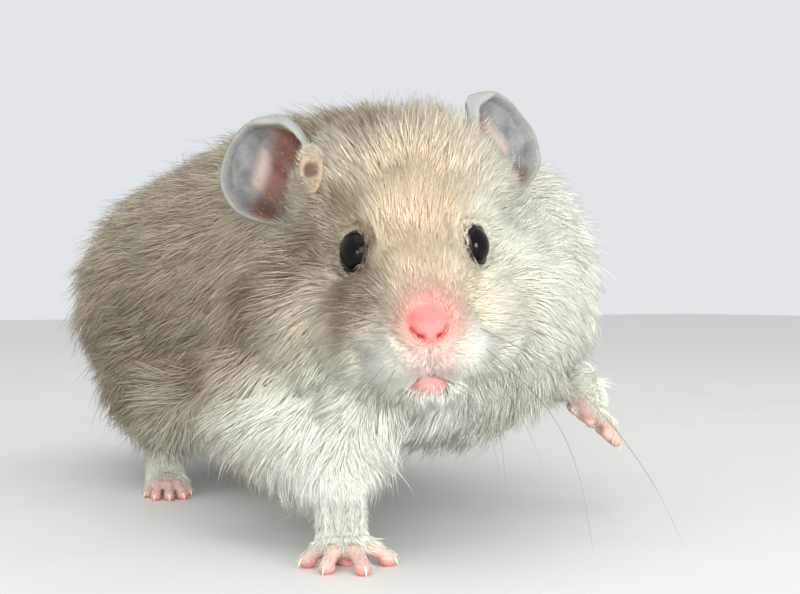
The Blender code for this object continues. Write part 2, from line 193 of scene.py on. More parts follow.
def object_from(name: str, bm: Shape, outward: bool = True) -> Piece:
    """Turns a bmesh into a smooth-shaded object.

    Args:
        name: The object's name.
        bm: The shape, which is freed.
        outward: Whether to turn the faces outwards first.

    Returns:
        The object.
    """
    if outward:
        bmesh.ops.recalc_face_normals(bm, faces=bm.faces)
    mesh = bpy.data.meshes.new(name)
    bm.to_mesh(mesh)
    bm.free()
    mesh.shade_smooth()
    return new_object(name, mesh)


def whole(bm: Shape) -> list[bmesh.types.BMVert | bmesh.types.BMEdge | bmesh.types.BMFace]:
    """All that a shape is made of."""
    return bm.verts[:] + bm.edges[:] + bm.faces[:]


def sliced(bm: Shape, height: float) -> None:
    """Cuts a shape's faces level at a height, and keeps both sides."""
    bmesh.ops.bisect_plane(bm, geom=whole(bm), plane_co=(0, 0, height), plane_no=(0, 0, 1))


def take_in(bm: Shape, part: Shape) -> None:
    """Moves a part's shape in with another's.

    Args:
        bm: The shape that grows.
        part: The part, which is freed.
    """
    mesh = bpy.data.meshes.new("part")
    part.to_mesh(mesh)
    part.free()
    bm.from_mesh(mesh)
    bpy.data.meshes.remove(mesh)


def applied(obj: Piece) -> Piece:
    """The object with its modifiers made part of its mesh.

    Args:
        obj: The object, which is removed.

    Returns:
        The new object, of the same name.
    """
    name = obj.name
    bpy.context.view_layer.update()
    graph = bpy.context.evaluated_depsgraph_get()
    mesh = bpy.data.meshes.new_from_object(obj.evaluated_get(graph))
    bpy.data.objects.remove(obj, do_unlink=True)
    mesh.name = name
    return new_object(name, mesh)


def melted(name: str, bm: Shape, voxel: float, smoothing: int) -> Piece:
    """Melts overlapping closed shapes into one.

    Args:
        name: The object's name.
        bm: The shapes, which are freed.
        voxel: The grid step in millimetres.
        smoothing: How many times it is smoothed.

    Returns:
        The melted object.
    """
    obj = object_from(name, bm, outward=False)
    remesh = obj.modifiers.new("melt", "REMESH")
    remesh.mode = "VOXEL"
    remesh.voxel_size = voxel * MM
    smooth = obj.modifiers.new("soften", "SMOOTH")
    smooth.iterations = smoothing
    made = applied(obj)
    made.data.shade_smooth()
    return made


def rows_of(items: bpy.types.bpy_prop_collection, name: str, width: int, kind: type = np.float32) -> Array:
    """A field of many mesh items as an array."""
    flat = np.empty(len(items) * width, kind)
    items.foreach_get(name, flat)
    return flat.reshape(-1, width)


def places_of(mesh: Mesh) -> Array:
    """The mesh's vertices as an array of world places."""
    return rows_of(mesh.vertices, "co", 3).astype(np.float64)


def normals_of(mesh: Mesh) -> Array:
    """The mesh's vertex normals as an array."""
    return rows_of(mesh.vertex_normals, "vector", 3).astype(np.float64)


def set_places(mesh: Mesh, places: Array) -> None:
    """Moves the mesh's vertices to these places."""
    mesh.vertices.foreach_set("co", places.astype(np.float32).ravel())
    mesh.update()


def store(mesh: Mesh, name: str, values: Array) -> None:
    """Keeps a number, or a vector, for each vertex as an attribute."""
    kind, part = ("FLOAT", "value") if values.ndim == 1 else ("FLOAT_VECTOR", "vector")
    mesh.attributes.new(name, kind, "POINT").data.foreach_set(part, values.astype(np.float32).ravel())


def evened(values: Array, edges: Array, times: int, share: float = 0.5) -> Array:
    """Smooths values over a mesh by drawing each vertex towards its neighbours' mean.

    Args:
        values: One row for each vertex.
        edges: Pairs of vertices.
        times: How many times to do it.
        share: How far each step goes.

    Returns:
        The smoothed values.
    """
    count = np.bincount(edges.ravel(), minlength=len(values))
    count = np.maximum(count, 1).reshape(-1, *[1] * (values.ndim - 1))
    for _ in range(times):
        total = np.zeros_like(values)
        np.add.at(total, edges[:, 0], values[edges[:, 1]])
        np.add.at(total, edges[:, 1], values[edges[:, 0]])
        values = values + share * (total / count - values)
    return values


def unit(vectors: Array) -> Array:
    """Rows made one long."""
    return vectors / np.maximum(np.linalg.norm(vectors, axis=-1, keepdims=True), 1e-12)


def laid(vectors: Array, normals: Array) -> Array:
    """Rows laid along the surface that has these normals, and made one long."""
    return unit(vectors - (vectors * normals).sum(axis=1, keepdims=True) * normals)


def eased(values: Array, start: float | Array, end: float | Array) -> Array:
    """0 before start, 1 after end, and a smooth step between them."""
    share = np.clip((values - start) / (end - start), 0.0, 1.0)
    return share * share * (3 - 2 * share)


def off_path(points: Array, path: Line) -> Array:
    """How far points in a plane are from a line of several stretches.

    Args:
        points: Two numbers for each point.
        path: The line's corners.

    Returns:
        The distances.
    """
    nearest = np.full(len(points), np.inf)
    for start, end in zip(path, path[1:]):
        a, b = np.array(start), np.array(end)
        along = b - a
        share = np.clip((points - a) @ along / (along @ along), 0, 1)
        gap = np.linalg.norm(points - a - share[:, None] * along, axis=1)
        nearest = np.minimum(nearest, gap)
    return nearest


def by_path(points: Array, path: Line, start: float | Array, end: float | Array) -> Array:
    """1 for points nearer to a line than start, 0 for those past end, and a smooth step between."""
    return 1 - eased(off_path(points, path), start, end)


def add_blob(bm: Shape, place: Frame, centre: Triple, radii: Triple) -> None:
    """Adds an ellipsoid to the shapes."""
    size = Matrix.Diagonal((*(Vector(radii) * MM), 1.0))
    bmesh.ops.create_icosphere(bm, subdivisions=3, radius=1.0, matrix=place.matrix(centre) @ size)


LIMB_STEPS = 7


def add_limb(bm: Shape, start: Vector, end: Vector, radii: Pair) -> None:
    """Adds a rounded tapering limb to the shapes.

    Args:
        bm: The shapes.
        start: One end's world place.
        end: The other's.
        radii: The radius at each end, in millimetres.
    """
    for step in range(LIMB_STEPS + 1):
        share = step / LIMB_STEPS
        radius = radii[0] + (radii[1] - radii[0]) * share
        place = Matrix.Translation(start.lerp(end, share))
        bmesh.ops.create_icosphere(bm, subdivisions=2, radius=radius * MM, matrix=place)


def finish_piece(obj: Piece, material: Material, slot: str, *stands_for: str) -> None:
    """Dresses a piece and ties it to the body.

    Args:
        obj: The piece.
        material: Its finish.
        slot: The record's material slot; not used.
        stands_for: The CAD nodes that it replaces.
    """
    obj.data.materials.clear()
    obj.data.materials.append(material)
    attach(obj, ROOT_BODY)
    if stands_for:
        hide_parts(*stands_for)
    triangles = sum(len(face.vertices) - 2 for face in obj.data.polygons)
    LOG.info("%s: %d triangles", obj.name, triangles)


# Materials

NOISE_ROUGHNESS = 0.55


class Paint:
    """A material's nodes, added one at a time."""

    def __init__(self, tree: Tree) -> None:
        """Keeps the tree that nodes are added to."""
        self.tree = tree

    def add(self, kind: str, *inputs: object, **settings: object) -> bpy.types.Node:
        """Adds a node.

        Args:
            kind: The node's type.
            inputs: What goes into its sockets in order: an output, or a value.
            settings: The node's own properties.

        Returns:
            The node.
        """
        node = self.tree.nodes.new(kind)
        for name, value in settings.items():
            setattr(node, name, value)
        for socket, value in zip([s for s in node.inputs if s.enabled], inputs):
            self.feed(socket, value)
        return node

    def feed(self, socket: Socket, value: object) -> None:
        """Links an output to a socket, or sets its value."""
        if isinstance(value, Socket):
            self.tree.links.new(value, socket)
        else:
            socket.default_value = value

    def vectors(self, operation: str, first: object, second: object = (0, 0, 0)) -> bpy.types.Node:
        """A node of vector arithmetic."""
        return self.add("ShaderNodeVectorMath", first, second, operation=operation)

    def maths(self, operation: str, *inputs: object) -> Socket:
        """An operation on numbers."""
        return self.add("ShaderNodeMath", *inputs, operation=operation).outputs[0]

    def place(self) -> Socket:
        """The place on the piece, in metres."""
        return self.add("ShaderNodeTexCoord").outputs["Object"]

    def read(self, name: str, part: str = "Fac") -> Socket:
        """An attribute of the mesh, as a number or another part of it."""
        return self.add("ShaderNodeAttribute", attribute_name=name).outputs[part]

    def split(self, vector: object) -> bpy.types.bpy_prop_collection:
        """A vector's three numbers."""
        return self.add("ShaderNodeSeparateXYZ", vector).outputs

    def marked(self, group: Tree, place: object) -> Socket:
        """The coat's colour at a place."""
        return self.add("ShaderNodeGroup", place, node_tree=group).outputs[0]

    def mix(self, share: object, first: object, second: object, mode: str = "MIX") -> Socket:
        """Mixes two colours.

        Args:
            share: How much of the second there is.
            first: The first colour.
            second: The second colour.
            mode: How they blend.

        Returns:
            The mixed colour.
        """
        node = self.add("ShaderNodeMix", data_type="RGBA", blend_type=mode)
        self.feed(node.inputs["Factor"], share)
        self.feed(node.inputs[6], first)
        self.feed(node.inputs[7], second)
        return node.outputs[2]

    def span(self, value: object, ends: Pair, become: Pair = (0.0, 1.0)) -> Socket:
        """Draws a value's span smoothly onto another."""
        node = self.add("ShaderNodeMapRange", interpolation_type="SMOOTHSTEP")
        for socket, part in zip(node.inputs, (value, *ends, *become)):
            self.feed(socket, part)
        return node.outputs[0]

    def noise(self, scale: float, detail: float) -> Socket:
        """Soft noise over the piece.

        Args:
            scale: How many waves there are to a metre.
            detail: How many finer waves lie on them.

        Returns:
            The noise, from 0 to 1.
        """
        node = self.add("ShaderNodeTexNoise", noise_dimensions="3D")
        values = {"Vector": self.place(), "Scale": scale, "Detail": detail, "Roughness": NOISE_ROUGHNESS}
        for name, value in values.items():
            self.feed(node.inputs[name], value)
        return node.outputs["Fac"]

    def mottled(self, noise: object, colours: Colours, ends: Pair = (0.3, 0.7)) -> object:
        """Two colours in soft spots, by noise between these ends."""
        return self.mix(self.span(noise, ends), *colours)


@dataclass(frozen=True)
class Patch:
    """A soft-edged ellipsoid of one colour in the coat's markings, in millimetres."""

    colour: Triple
    place: Triple
    radii: Triple
    soft: float = 0.5
    strength: float = 1.0
    on_head: bool = True


COAT_BASE = (190, 177, 154)
MARKINGS = (
    # The body: beige back, white underside and limbs.
    Patch((240, 243, 234), (0, -6, -4), (44, 70, 21), 0.35, 1.0, False),
    Patch((244, 248, 240), (-8, -56, 14), (34, 22, 27), 0.4, 1.0, False),
    Patch((244, 246, 236), (24, -44, 36), (24, 24, 26), 0.5, 1.0, False),
    Patch((160, 142, 116), (0, 14, 66), (16, 52, 9), 0.7, 0.4, False),
    Patch((158, 140, 112), (0, -26, 62), (22, 16, 12), 0.6, 0.8, False),
    # Partly a darker lower flank, partly painted shade over the right haunch and hind quarter.
    Patch((140, 126, 104), (-32, 22, 24), (14, 22, 13), 0.7, 0.7, False),
    # The head: cream sides, honey brow and bridge, taupe round the right eye.
    Patch((246, 240, 222), (4, -2, -2), (26, 26, 26), 0.3),
    Patch((240, 230, 212), (0, -7, 13), (12, 12, 12), 0.6, 0.8),
    Patch((252, 228, 196), (-0.5, 5, 4), (7.0, 12, 11), 0.7, 0.85),
    Patch((190, 172, 146), (-22, -8, -4), (7, 14, 10), 0.7, 0.9),
    Patch((226, 218, 196), (-15, 0, -11), (7, 10, 4.5), 0.7, 0.8),
    Patch((146, 127, 104), (-17.5, -6.5, 0.0), (8, 10, 5.0), 0.7, 0.85),
    Patch((140, 114, 88), (-7.9, 5.2, -3.9), (3.3, 6, 3.3), 0.9, 0.9),
    Patch((138, 114, 90), (-7.7, 6.0, -6.8), (2.3, 6, 2.9), 0.9, 0.8),
    Patch((146, 126, 102), (-12.8, -3.2, 0.2), (3.6, 6, 4.2), 0.7, 0.8),
    Patch((188, 167, 138), (-11.3, -4.6, 8.6), (2.6, 5, 4.5), 0.8, 0.7),
    Patch((150, 122, 92), (-7.9, -1.6, 5.2), (2.2, 5, 2.8), 0.8, 0.75),
    Patch((128, 94, 62), (-7.0, 1.6, 1.0), (1.3, 3, 2.2), 0.8, 0.9),
    Patch((120, 100, 78), (-22.5, -10, -3), (5, 9, 8), 0.7, 0.9),
    Patch((212, 204, 186), (-15.2, -8.5, 5.4), (2.8, 6, 3.6), 0.8, 0.75),
    Patch((222, 216, 196), (-11.5, -10, 15.0), (3.2, 5, 3.2), 0.7, 0.5),
    Patch((140, 114, 86), (-3.9, -9, 15.8), (4.0, 6, 4), 0.7, 0.8),
    Patch((186, 168, 138), (4.5, -9, 16.5), (3, 5, 3), 0.7, 0.5),
    Patch((246, 250, 242), (0, 2, -20), (26, 20, 9), 0.4),
    Patch((228, 232, 224), (18, -2, 2), (9, 20, 9), 0.7, 0.8),
    Patch((250, 252, 244), (17, 0, -12), (9, 20, 10), 0.7, 0.8),
    Patch((250, 250, 244), (4.8, 12, -11.8), (4, 5, 3.6), 0.5, 0.8),
    Patch((250, 250, 244), (-5.2, 12, -12.2), (4, 5, 3.4), 0.5, 0.8),
    Patch((252, 212, 192), (0.8, 13.0, -5.0), (4.4, 4.0, 3.4), 0.7, 0.65),
    Patch((253, 188, 180), (0.2, 14.8, -7.9), (3.5, 5.0, 3.3), 0.45, 0.9),
    Patch((252, 220, 218), (-0.25, 13.5, -12.0), (2.6, 3.6, 1.8), 0.6, 0.6),
    Patch((255, 250, 238), (-1.0, 13.6, -3.4), (0.6, 2.0, 1.0), 0.5, 0.8),
)

WARP_SCALE = 140
WARP_DETAIL = 4
WARP_REACH = 4.0 * MM


def markings_group() -> Tree:
    """The markings that skin and coat share, with some painted shade on the right haunch: a place in, a
    colour out.

    Returns:
        The group of nodes.
    """
    tree = bpy.data.node_groups.new("coat_markings", "ShaderNodeTree")
    tree.interface.new_socket("Place", in_out="INPUT", socket_type="NodeSocketVector")
    tree.interface.new_socket("Colour", in_out="OUTPUT", socket_type="NodeSocketColor")
    paint = Paint(tree)
    place = paint.add("NodeGroupInput").outputs[0]
    warp = paint.add("ShaderNodeTexNoise", noise_dimensions="3D")
    warp.inputs["Scale"].default_value = WARP_SCALE
    warp.inputs["Detail"].default_value = WARP_DETAIL
    paint.feed(warp.inputs["Vector"], place)
    shift = paint.vectors("ADD", warp.outputs["Color"], (-0.5, -0.5, -0.5))
    scaled = paint.add("ShaderNodeVectorMath", shift.outputs[0], operation="SCALE")
    scaled.inputs["Scale"].default_value = WARP_REACH
    moved = paint.vectors("ADD", place, scaled.outputs[0]).outputs[0]
    colour: object = linear(*COAT_BASE)
    for patch in MARKINGS:
        matrix = HEAD.matrix(patch.place) if patch.on_head else Matrix.Translation(spot(patch.place, False))
        mapping = paint.add("ShaderNodeMapping", moved, vector_type="TEXTURE")
        mapping.inputs["Location"].default_value = matrix.translation
        mapping.inputs["Rotation"].default_value = matrix.to_euler()
        mapping.inputs["Scale"].default_value = Vector(patch.radii) * MM
        far = paint.vectors("LENGTH", mapping.outputs[0]).outputs["Value"]
        share = paint.span(far, (1 - patch.soft, 1 + patch.soft), (patch.strength, 0.0))
        colour = paint.mix(share, colour, linear(*patch.colour))
    paint.add("NodeGroupOutput", colour)
    return tree


@dataclass(frozen=True, kw_only=True)
class Finish:
    """A material of one shader. Its kinds say its colour.

    The relief is a fine noise's waves to a metre and detail, its strength and its depth in metres.
    """

    name: str
    roughness: float
    relief: Quad | None = None
    settings: tuple[tuple[str, float], ...] = ()

    def colour(self, paint: Paint) -> object:
        """The colour that it shows everywhere."""
        raise NotImplementedError

    def material(self) -> Material:
        """Makes the material.

        Returns:
            The material.
        """
        made = bpy.data.materials.new(self.name)
        made.use_nodes = True
        shader = made.node_tree.nodes["Principled BSDF"]
        paint = Paint(made.node_tree)
        paint.feed(shader.inputs["Base Color"], self.colour(paint))
        for name, value in (("Roughness", self.roughness), *self.settings):
            shader.inputs[name].default_value = value
        if self.relief:
            scale, detail, strength, depth = self.relief
            bump = paint.add("ShaderNodeBump")
            values = {"Strength": strength, "Distance": depth, "Height": paint.noise(scale, detail)}
            for name, value in values.items():
                paint.feed(bump.inputs[name], value)
            paint.feed(shader.inputs["Normal"], bump.outputs["Normal"])
        return made


@dataclass(frozen=True, kw_only=True)
class SkinFinish(Finish):
    """Bare skin under the coat, pink where it shows."""

    group: Tree
    name: str = "hide"
    roughness: float = 0.55
    relief: Quad = (2600, 3, 0.35, 0.0001)
    flush: Quad = (0.80, 0.62, 0.50, 1)
    nose: Colours = (linear(220, 124, 120), linear(206, 114, 110))
    lip: Quad = linear(206, 62, 78)
    lid_skin: Quad = linear(146, 122, 104)
    lid: Quad = linear(38, 26, 22)

    def colour(self, paint: Paint) -> object:
        """The coat's own colour, with the nose, lips and lids from the skin's attributes."""
        mottle = paint.noise(500, 4)
        under = paint.marked(self.group, paint.place())
        deep = paint.mix(paint.span(mottle, (0.3, 0.7), (0.0, 0.5)), under, self.flush, "MULTIPLY")
        nosed = paint.mix(paint.read("pad"), deep, paint.mottled(mottle, self.nose))
        lipped = paint.mix(paint.read("lip"), nosed, self.lip)
        soft = paint.mix(paint.maths("MULTIPLY", paint.read("lid_skin"), 0.85), lipped, self.lid_skin)
        return paint.mix(paint.read("lid"), soft, self.lid)


@dataclass(frozen=True, kw_only=True)
class CoatFinish(Finish):
    """Hair with its root's colour in the markings, lighter to its tip because painted shade darkens it
    towards its root.
    """

    group: Tree
    name: str = "coat"
    roughness: float = 0.62
    settings: tuple[tuple[str, float], ...] = (("Specular IOR Level", 0.25),)
    root_painted_shade: Quad = (0.86, 0.82, 0.76, 1)
    pale: Quad = linear(250, 248, 238)
    tick: Quad = linear(112, 88, 62)

    def colour(self, paint: Paint) -> object:
        """The markings at each hair's root, by its own chance, height and ticking."""
        chance, height, ticking = paint.split(paint.read("hair", "Vector"))
        own = paint.marked(self.group, paint.read("root", "Vector"))
        # Painted shade: each hair is darker towards its root, deep in the coat.
        shade = paint.mix(paint.span(height, (0.0, 0.7), (1.0, 0.0)), own, self.root_painted_shade, "MULTIPLY")
        paler = paint.mix(paint.span(chance, (0.55, 1.0), (0.0, 0.40)), shade, self.pale)
        dark = paint.maths("MULTIPLY", ticking, paint.span(height, (0.3, 0.9), (0.0, 0.75)))
        return paint.mix(dark, paler, self.tick)


@dataclass(frozen=True, kw_only=True)
class MottledFinish(Finish):
    """Two close colours in soft spots: eyeballs, claws, whiskers and the like."""

    scale: float
    detail: float
    colours: Colours
    ends: Pair = (0.3, 0.7)

    def colour(self, paint: Paint) -> object:
        """The two colours, by noise."""
        return paint.mottled(paint.noise(self.scale, self.detail), self.colours, self.ends)


@dataclass(frozen=True, kw_only=True)
class PawFinish(MottledFinish):
    """Pink paw skin, redder on the pads and paler at the wrist."""

    name: str = "paw"
    roughness: float = 0.48
    relief: Quad = (3200, 3, 0.5, 0.00012)
    scale: float = 700
    detail: float = 4
    colours: Colours = (linear(208, 178, 166), linear(200, 156, 146))
    pad: Quad = linear(206, 122, 117)
    wrist: Quad = linear(206, 198, 186)

    def colour(self, paint: Paint) -> object:
        """The skin's colour, with red pads near the floor and a pale wrist."""
        low = paint.span(paint.split(paint.place())[2], (0.0002, 0.0017), (0.7, 0.0))
        return paint.mix(paint.read("wrist"), paint.mix(low, super().colour(paint), self.pad), self.wrist)


@dataclass(frozen=True, kw_only=True)
class EarFinish(MottledFinish):
    """Thin ear skin: grey-lilac, mottled, brownish red in the hollow and pale at the rim, with painted
    shade in a crease and under the rolled rim and a painted highlight along a ridge.
    """

    name: str = "ear"
    roughness: float = 0.55
    relief: Quad = (3000, 3, 0.5, 0.00012)
    scale: float = 420
    detail: float = 4
    colours: Colours = (linear(98, 97, 98), linear(130, 129, 129))
    # Painted highlight along the ridge.
    ridge_highlight: Quad = linear(186, 164, 156)
    reds: Colours = (linear(126, 78, 60), linear(96, 60, 48))
    # Painted shade in the crease and under the rolled rim.
    crease: Quad = linear(62, 46, 40)
    back: Quad = linear(172, 162, 148)
    rim: Quad = linear(158, 159, 152)
    strength: float = 0.85

    def colour(self, paint: Paint) -> object:
        """The skin's colour in each of the ear's zones, with its painted shade and painted highlight."""
        rim, hollow, back = paint.split(paint.read("zone", "Vector"))
        dark, ridge_highlight, _ = paint.split(paint.read("crease", "Vector"))
        # Painted highlight: paler along the ridge.
        inner = paint.mix(paint.maths("MULTIPLY", ridge_highlight, self.strength), super().colour(paint), self.ridge_highlight)
        red = paint.mottled(paint.noise(self.scale, self.detail), self.reds)
        inner = paint.mix(hollow, inner, red)
        # Painted shade in the crease and under the rolled rim.
        inner = paint.mix(paint.maths("MULTIPLY", dark, self.strength), inner, self.crease)
        return paint.mix(rim, paint.mix(back, inner, self.back), self.rim)


@dataclass(frozen=True, kw_only=True)
class KnobFinish(MottledFinish):
    """Cream skin with the hollow in the middle brown: the ear's own brown, darkened as painted shade."""

    middle: Vector
    name: str = "ear_curl"
    roughness: float = 0.6
    relief: Quad = (2600, 3, 0.5, 0.0001)
    scale: float = 2600
    detail: float = 3
    colours: Colours = (linear(176, 154, 132), linear(150, 128, 108))
    # The ear's brown, darkened as painted shade in the hollow.
    hollow: Quad = linear(88, 68, 50)

    def colour(self, paint: Paint) -> object:
        """The cream, with the hollow's brown and painted shade round the middle."""
        away = paint.vectors("SUBTRACT", paint.place(), self.middle)
        far = paint.vectors("LENGTH", away.outputs[0]).outputs["Value"]
        # Painted shade: brown round the middle of the hollow.
        share = paint.span(far, (0.7 * MM, 1.5 * MM), (1.0, 0.0))
        return paint.mix(share, super().colour(paint), self.hollow)


EYE_FINISH = MottledFinish(
    name="eyeball",
    roughness=0.06,
    settings=(("IOR", 1.37), ("Specular IOR Level", 0.25)),
    scale=1500,
    detail=4,
    colours=((0.003, 0.0025, 0.0025, 1), (0.007, 0.004, 0.003, 1)),
    ends=(0.4, 0.8),
)
CLAW_FINISH = MottledFinish(
    name="claw_horn",
    roughness=0.35,
    relief=(2400, 2, 0.3, 0.00003),
    scale=2400,
    detail=2,
    colours=(linear(238, 224, 204), linear(222, 190, 168)),
)
WHISKER_FINISH = MottledFinish(
    name="whisker",
    roughness=0.4,
    scale=120,
    detail=2,
    colours=(linear(168, 154, 136), linear(122, 108, 92)),
    ends=(0.35, 0.65),
)
FLOOR_FINISH = MottledFinish(
    name="floor_paint",
    roughness=0.6,
    scale=60,
    detail=2,
    colours=(linear(222, 220, 216), linear(226, 224, 220)),
    ends=(0.0, 1.0),
)


# The coat's plan


@dataclass(frozen=True)
class Zone:
    """How the coat grows round one place of the body, in millimetres and degrees."""

    place: Triple
    reach: float
    depth: float
    length: float
    width: float
    lift: float
    flow: Triple
    thick: float = 1.0
    on_head: bool = True
    both: bool = False

    def spots(self) -> list[tuple[Vector, Vector]]:
        """Where it stands and which way its coat lies, once for each side that it is on.

        Returns:
            World places and directions.
        """
        found = []
        for sign in (1, -1) if self.both else (1,):
            place = (self.place[0] * sign, *self.place[1:])
            flow = (self.flow[0] * sign, *self.flow[1:])
            way = HEAD.direction(*flow) if self.on_head else Vector(flow)
            found.append((spot(place, self.on_head), way))
        return found


ZONES = (
    Zone((-0.25, 15.2, -8.6), 2.2, 0.0, 0.45, 0.045, 20, (0, -0.4, 1), 0.6),
    Zone((-0.25, 12.6, -4.8), 2.6, 0.30, 1.2, 0.055, 20, (0, -1, 0.9), 1.3),
    Zone((0, 8, 0), 4.0, 0.7, 2.7, 0.07, 20, (0, -0.8, 0.8), 1.4),
    Zone((0, 2, 7), 5.0, 1.3, 4.0, 0.085, 20, (0, -0.6, 1), 1.3),
    Zone((0, -9, 16), 7.0, 2.3, 5.4, 0.09, 31, (0, -1, 0.35), 1.0),
    Zone((4.2, 12.6, -11), 2.6, 0.4, 1.8, 0.06, 22, (1, -0.5, -0.15), 1.5, both=True),
    Zone((2, 12.8, -13.2), 1.7, 0.25, 1.25, 0.055, 27, (0.8, -0.2, -0.6), 1.9, both=True),
    Zone((0, 10.5, -17.3), 2.0, 0.4, 1.7, 0.06, 34, (0, 0.2, -1), 1.6),
    Zone((0, 2, -20), 6.0, 1.6, 4.6, 0.10, 24, (0, -0.8, -0.6), 1.0),
    Zone((4.4, 3.5, 0.5), 2.0, 0.6, 1.9, 0.065, 20, (0.2, -1, 0.5), 1.4, both=True),
    Zone((8.6, 1.5, -4.3), 2.2, 0.7, 2.5, 0.07, 22, (1, -0.8, -0.5), 1.4, both=True),
    Zone((8, -1, 4.5), 2.4, 0.8, 2.7, 0.07, 24, (0.5, -1, 0.9), 1.3, both=True),
    Zone((10.5, -3, 0.5), 2.4, 0.8, 2.9, 0.075, 24, (0.6, -1, 0.1), 1.3, both=True),
    Zone((9, 6, -10), 4.0, 1.0, 3.6, 0.085, 16, (1, -0.8, -0.35), 1.3, both=True),
    Zone((17, -4, -8), 6.0, 2.2, 5.6, 0.11, 23, (0.5, -1, -0.6), 1.0, both=True),
    Zone((12, 0, -17), 5.0, 1.8, 5.2, 0.11, 22, (0.6, -0.8, -0.9), 1.0, both=True),
    Zone((13, -8, 8), 5.0, 1.6, 4.0, 0.10, 22, (0.4, -1, 0.3), 1.1, both=True),
    Zone((12.5, -13, 6), 4.0, 1.4, 3.8, 0.10, 30, (0.5, -0.5, 1), 1.0, both=True),
    Zone((15.0, -10, 1.5), 3.2, 1.5, 5.6, 0.10, 36, (0.9, -0.7, 0.9), 1.1, both=True),
    Zone((0, -20, 12), 8.0, 3.0, 7.0, 0.13, 28, (0, -1, 0), 0.9),
    Zone((2, -18, 60), 12, 3.3, 8.5, 0.165, 26, (0, 1, -0.05), 0.9, False),
    Zone((0, 5, 64), 16, 3.2, 9.0, 0.18, 23, (0, 1, -0.1), 0.85, False),
    Zone((0, 40, 58), 16, 3.2, 9.0, 0.19, 23, (0, 1, -0.35), 0.85, False),
    Zone((0, 64, 28), 10, 2.8, 8.0, 0.18, 23, (0, 0.4, -1), 0.85, False),
    Zone((30, 2, 36), 14, 3.0, 8.5, 0.17, 22, (0, 1, -0.45), 0.9, False, True),
    Zone((31, 40, 26), 14, 3.0, 8.5, 0.18, 22, (0, 0.8, -0.6), 0.85, False, True),
    Zone((30, -28, 32), 12, 2.8, 7.5, 0.15, 23, (0.1, 0.6, -1), 0.9, False, True),
    Zone((-27, -36, 40), 8, 2.8, 6.8, 0.15, 24, (-0.3, 0.8, -0.7), 1.0, False),
    Zone((22, -38, 46), 10, 2.8, 7.0, 0.15, 24, (0.3, 0.9, -0.6), 1.0, False),
    Zone((-10, -52, 16), 8, 2.6, 6.5, 0.13, 25, (-0.1, 0.1, -1), 1.0, False),
    Zone((12, -44, 19), 9, 2.4, 6.5, 0.14, 23, (0.1, 0.7, -0.7), 1.0, False),
    Zone((0, -5, 7), 16, 2.2, 7.0, 0.20, 17, (0, 1, -0.1), 0.8, False),
    Zone((0, 35, 6), 12, 2.2, 7.0, 0.20, 17, (0, 1, 0), 0.8, False),
    Zone((-23, -46, 15), 5, 1.2, 4.8, 0.11, 20, (-0.1, -0.1, -1), 1.0, False),
    Zone((-23.5, -52, 10.5), 3.5, 0.2, 3.2, 0.10, 10, (0, -0.1, -1), 1.1, False),
    Zone((-23.5, -51, 7.5), 2.5, 0.1, 2.3, 0.08, 6, (0, -0.2, -1), 1.2, False),
    Zone((22, -36, 20), 4, 1.2, 3.8, 0.11, 19, (0.5, -0.7, -0.6), 1.0, False),
    Zone((25, -40, 17), 3, 0.1, 2.6, 0.09, 12, (0.5, -0.7, -0.5), 1.2, False),
    Zone((-24, 16, 9), 4, 1.2, 3.8, 0.12, 16, (0, -0.5, -1), 1.0, False),
    Zone((15, 32, 9), 4, 1.2, 3.8, 0.12, 16, (0, -0.5, -1), 1.0, False),
    Zone((-2, 66, 18), 3, 0.3, 2.4, 0.10, 14, (0, 0.9, -0.5), 0.9, False),
)
# What keeps a zone's own middle from taking all.
ZONE_FLOOR = 0.02


@dataclass
class CoatPlan:
    """The coat's numbers at each of the skin's vertices."""

    depth: Array
    length: Array
    width: Array
    lift: Array
    thick: Array
    flow: Array

    @classmethod
    def over(cls, points: Array) -> "CoatPlan":
        """Blends the zones at these world places.

        Args:
            points: World places in metres.

        Returns:
            The plan.
        """
        totals = np.zeros((len(points), 8))
        weights = np.zeros(len(points))
        for zone in ZONES:
            for place, flow in zone.spots():
                far = np.linalg.norm(points - np.array(place), axis=1) / (zone.reach * MM)
                weight = 1.0 / (far**4 + ZONE_FLOOR)
                row = (zone.depth, zone.length, zone.width, zone.lift, zone.thick, *flow.normalized())
                totals += weight[:, None] * np.array(row)
                weights += weight
        totals /= weights[:, None]
        return cls(*totals[:, :5].T, totals[:, 5:])


# Skin


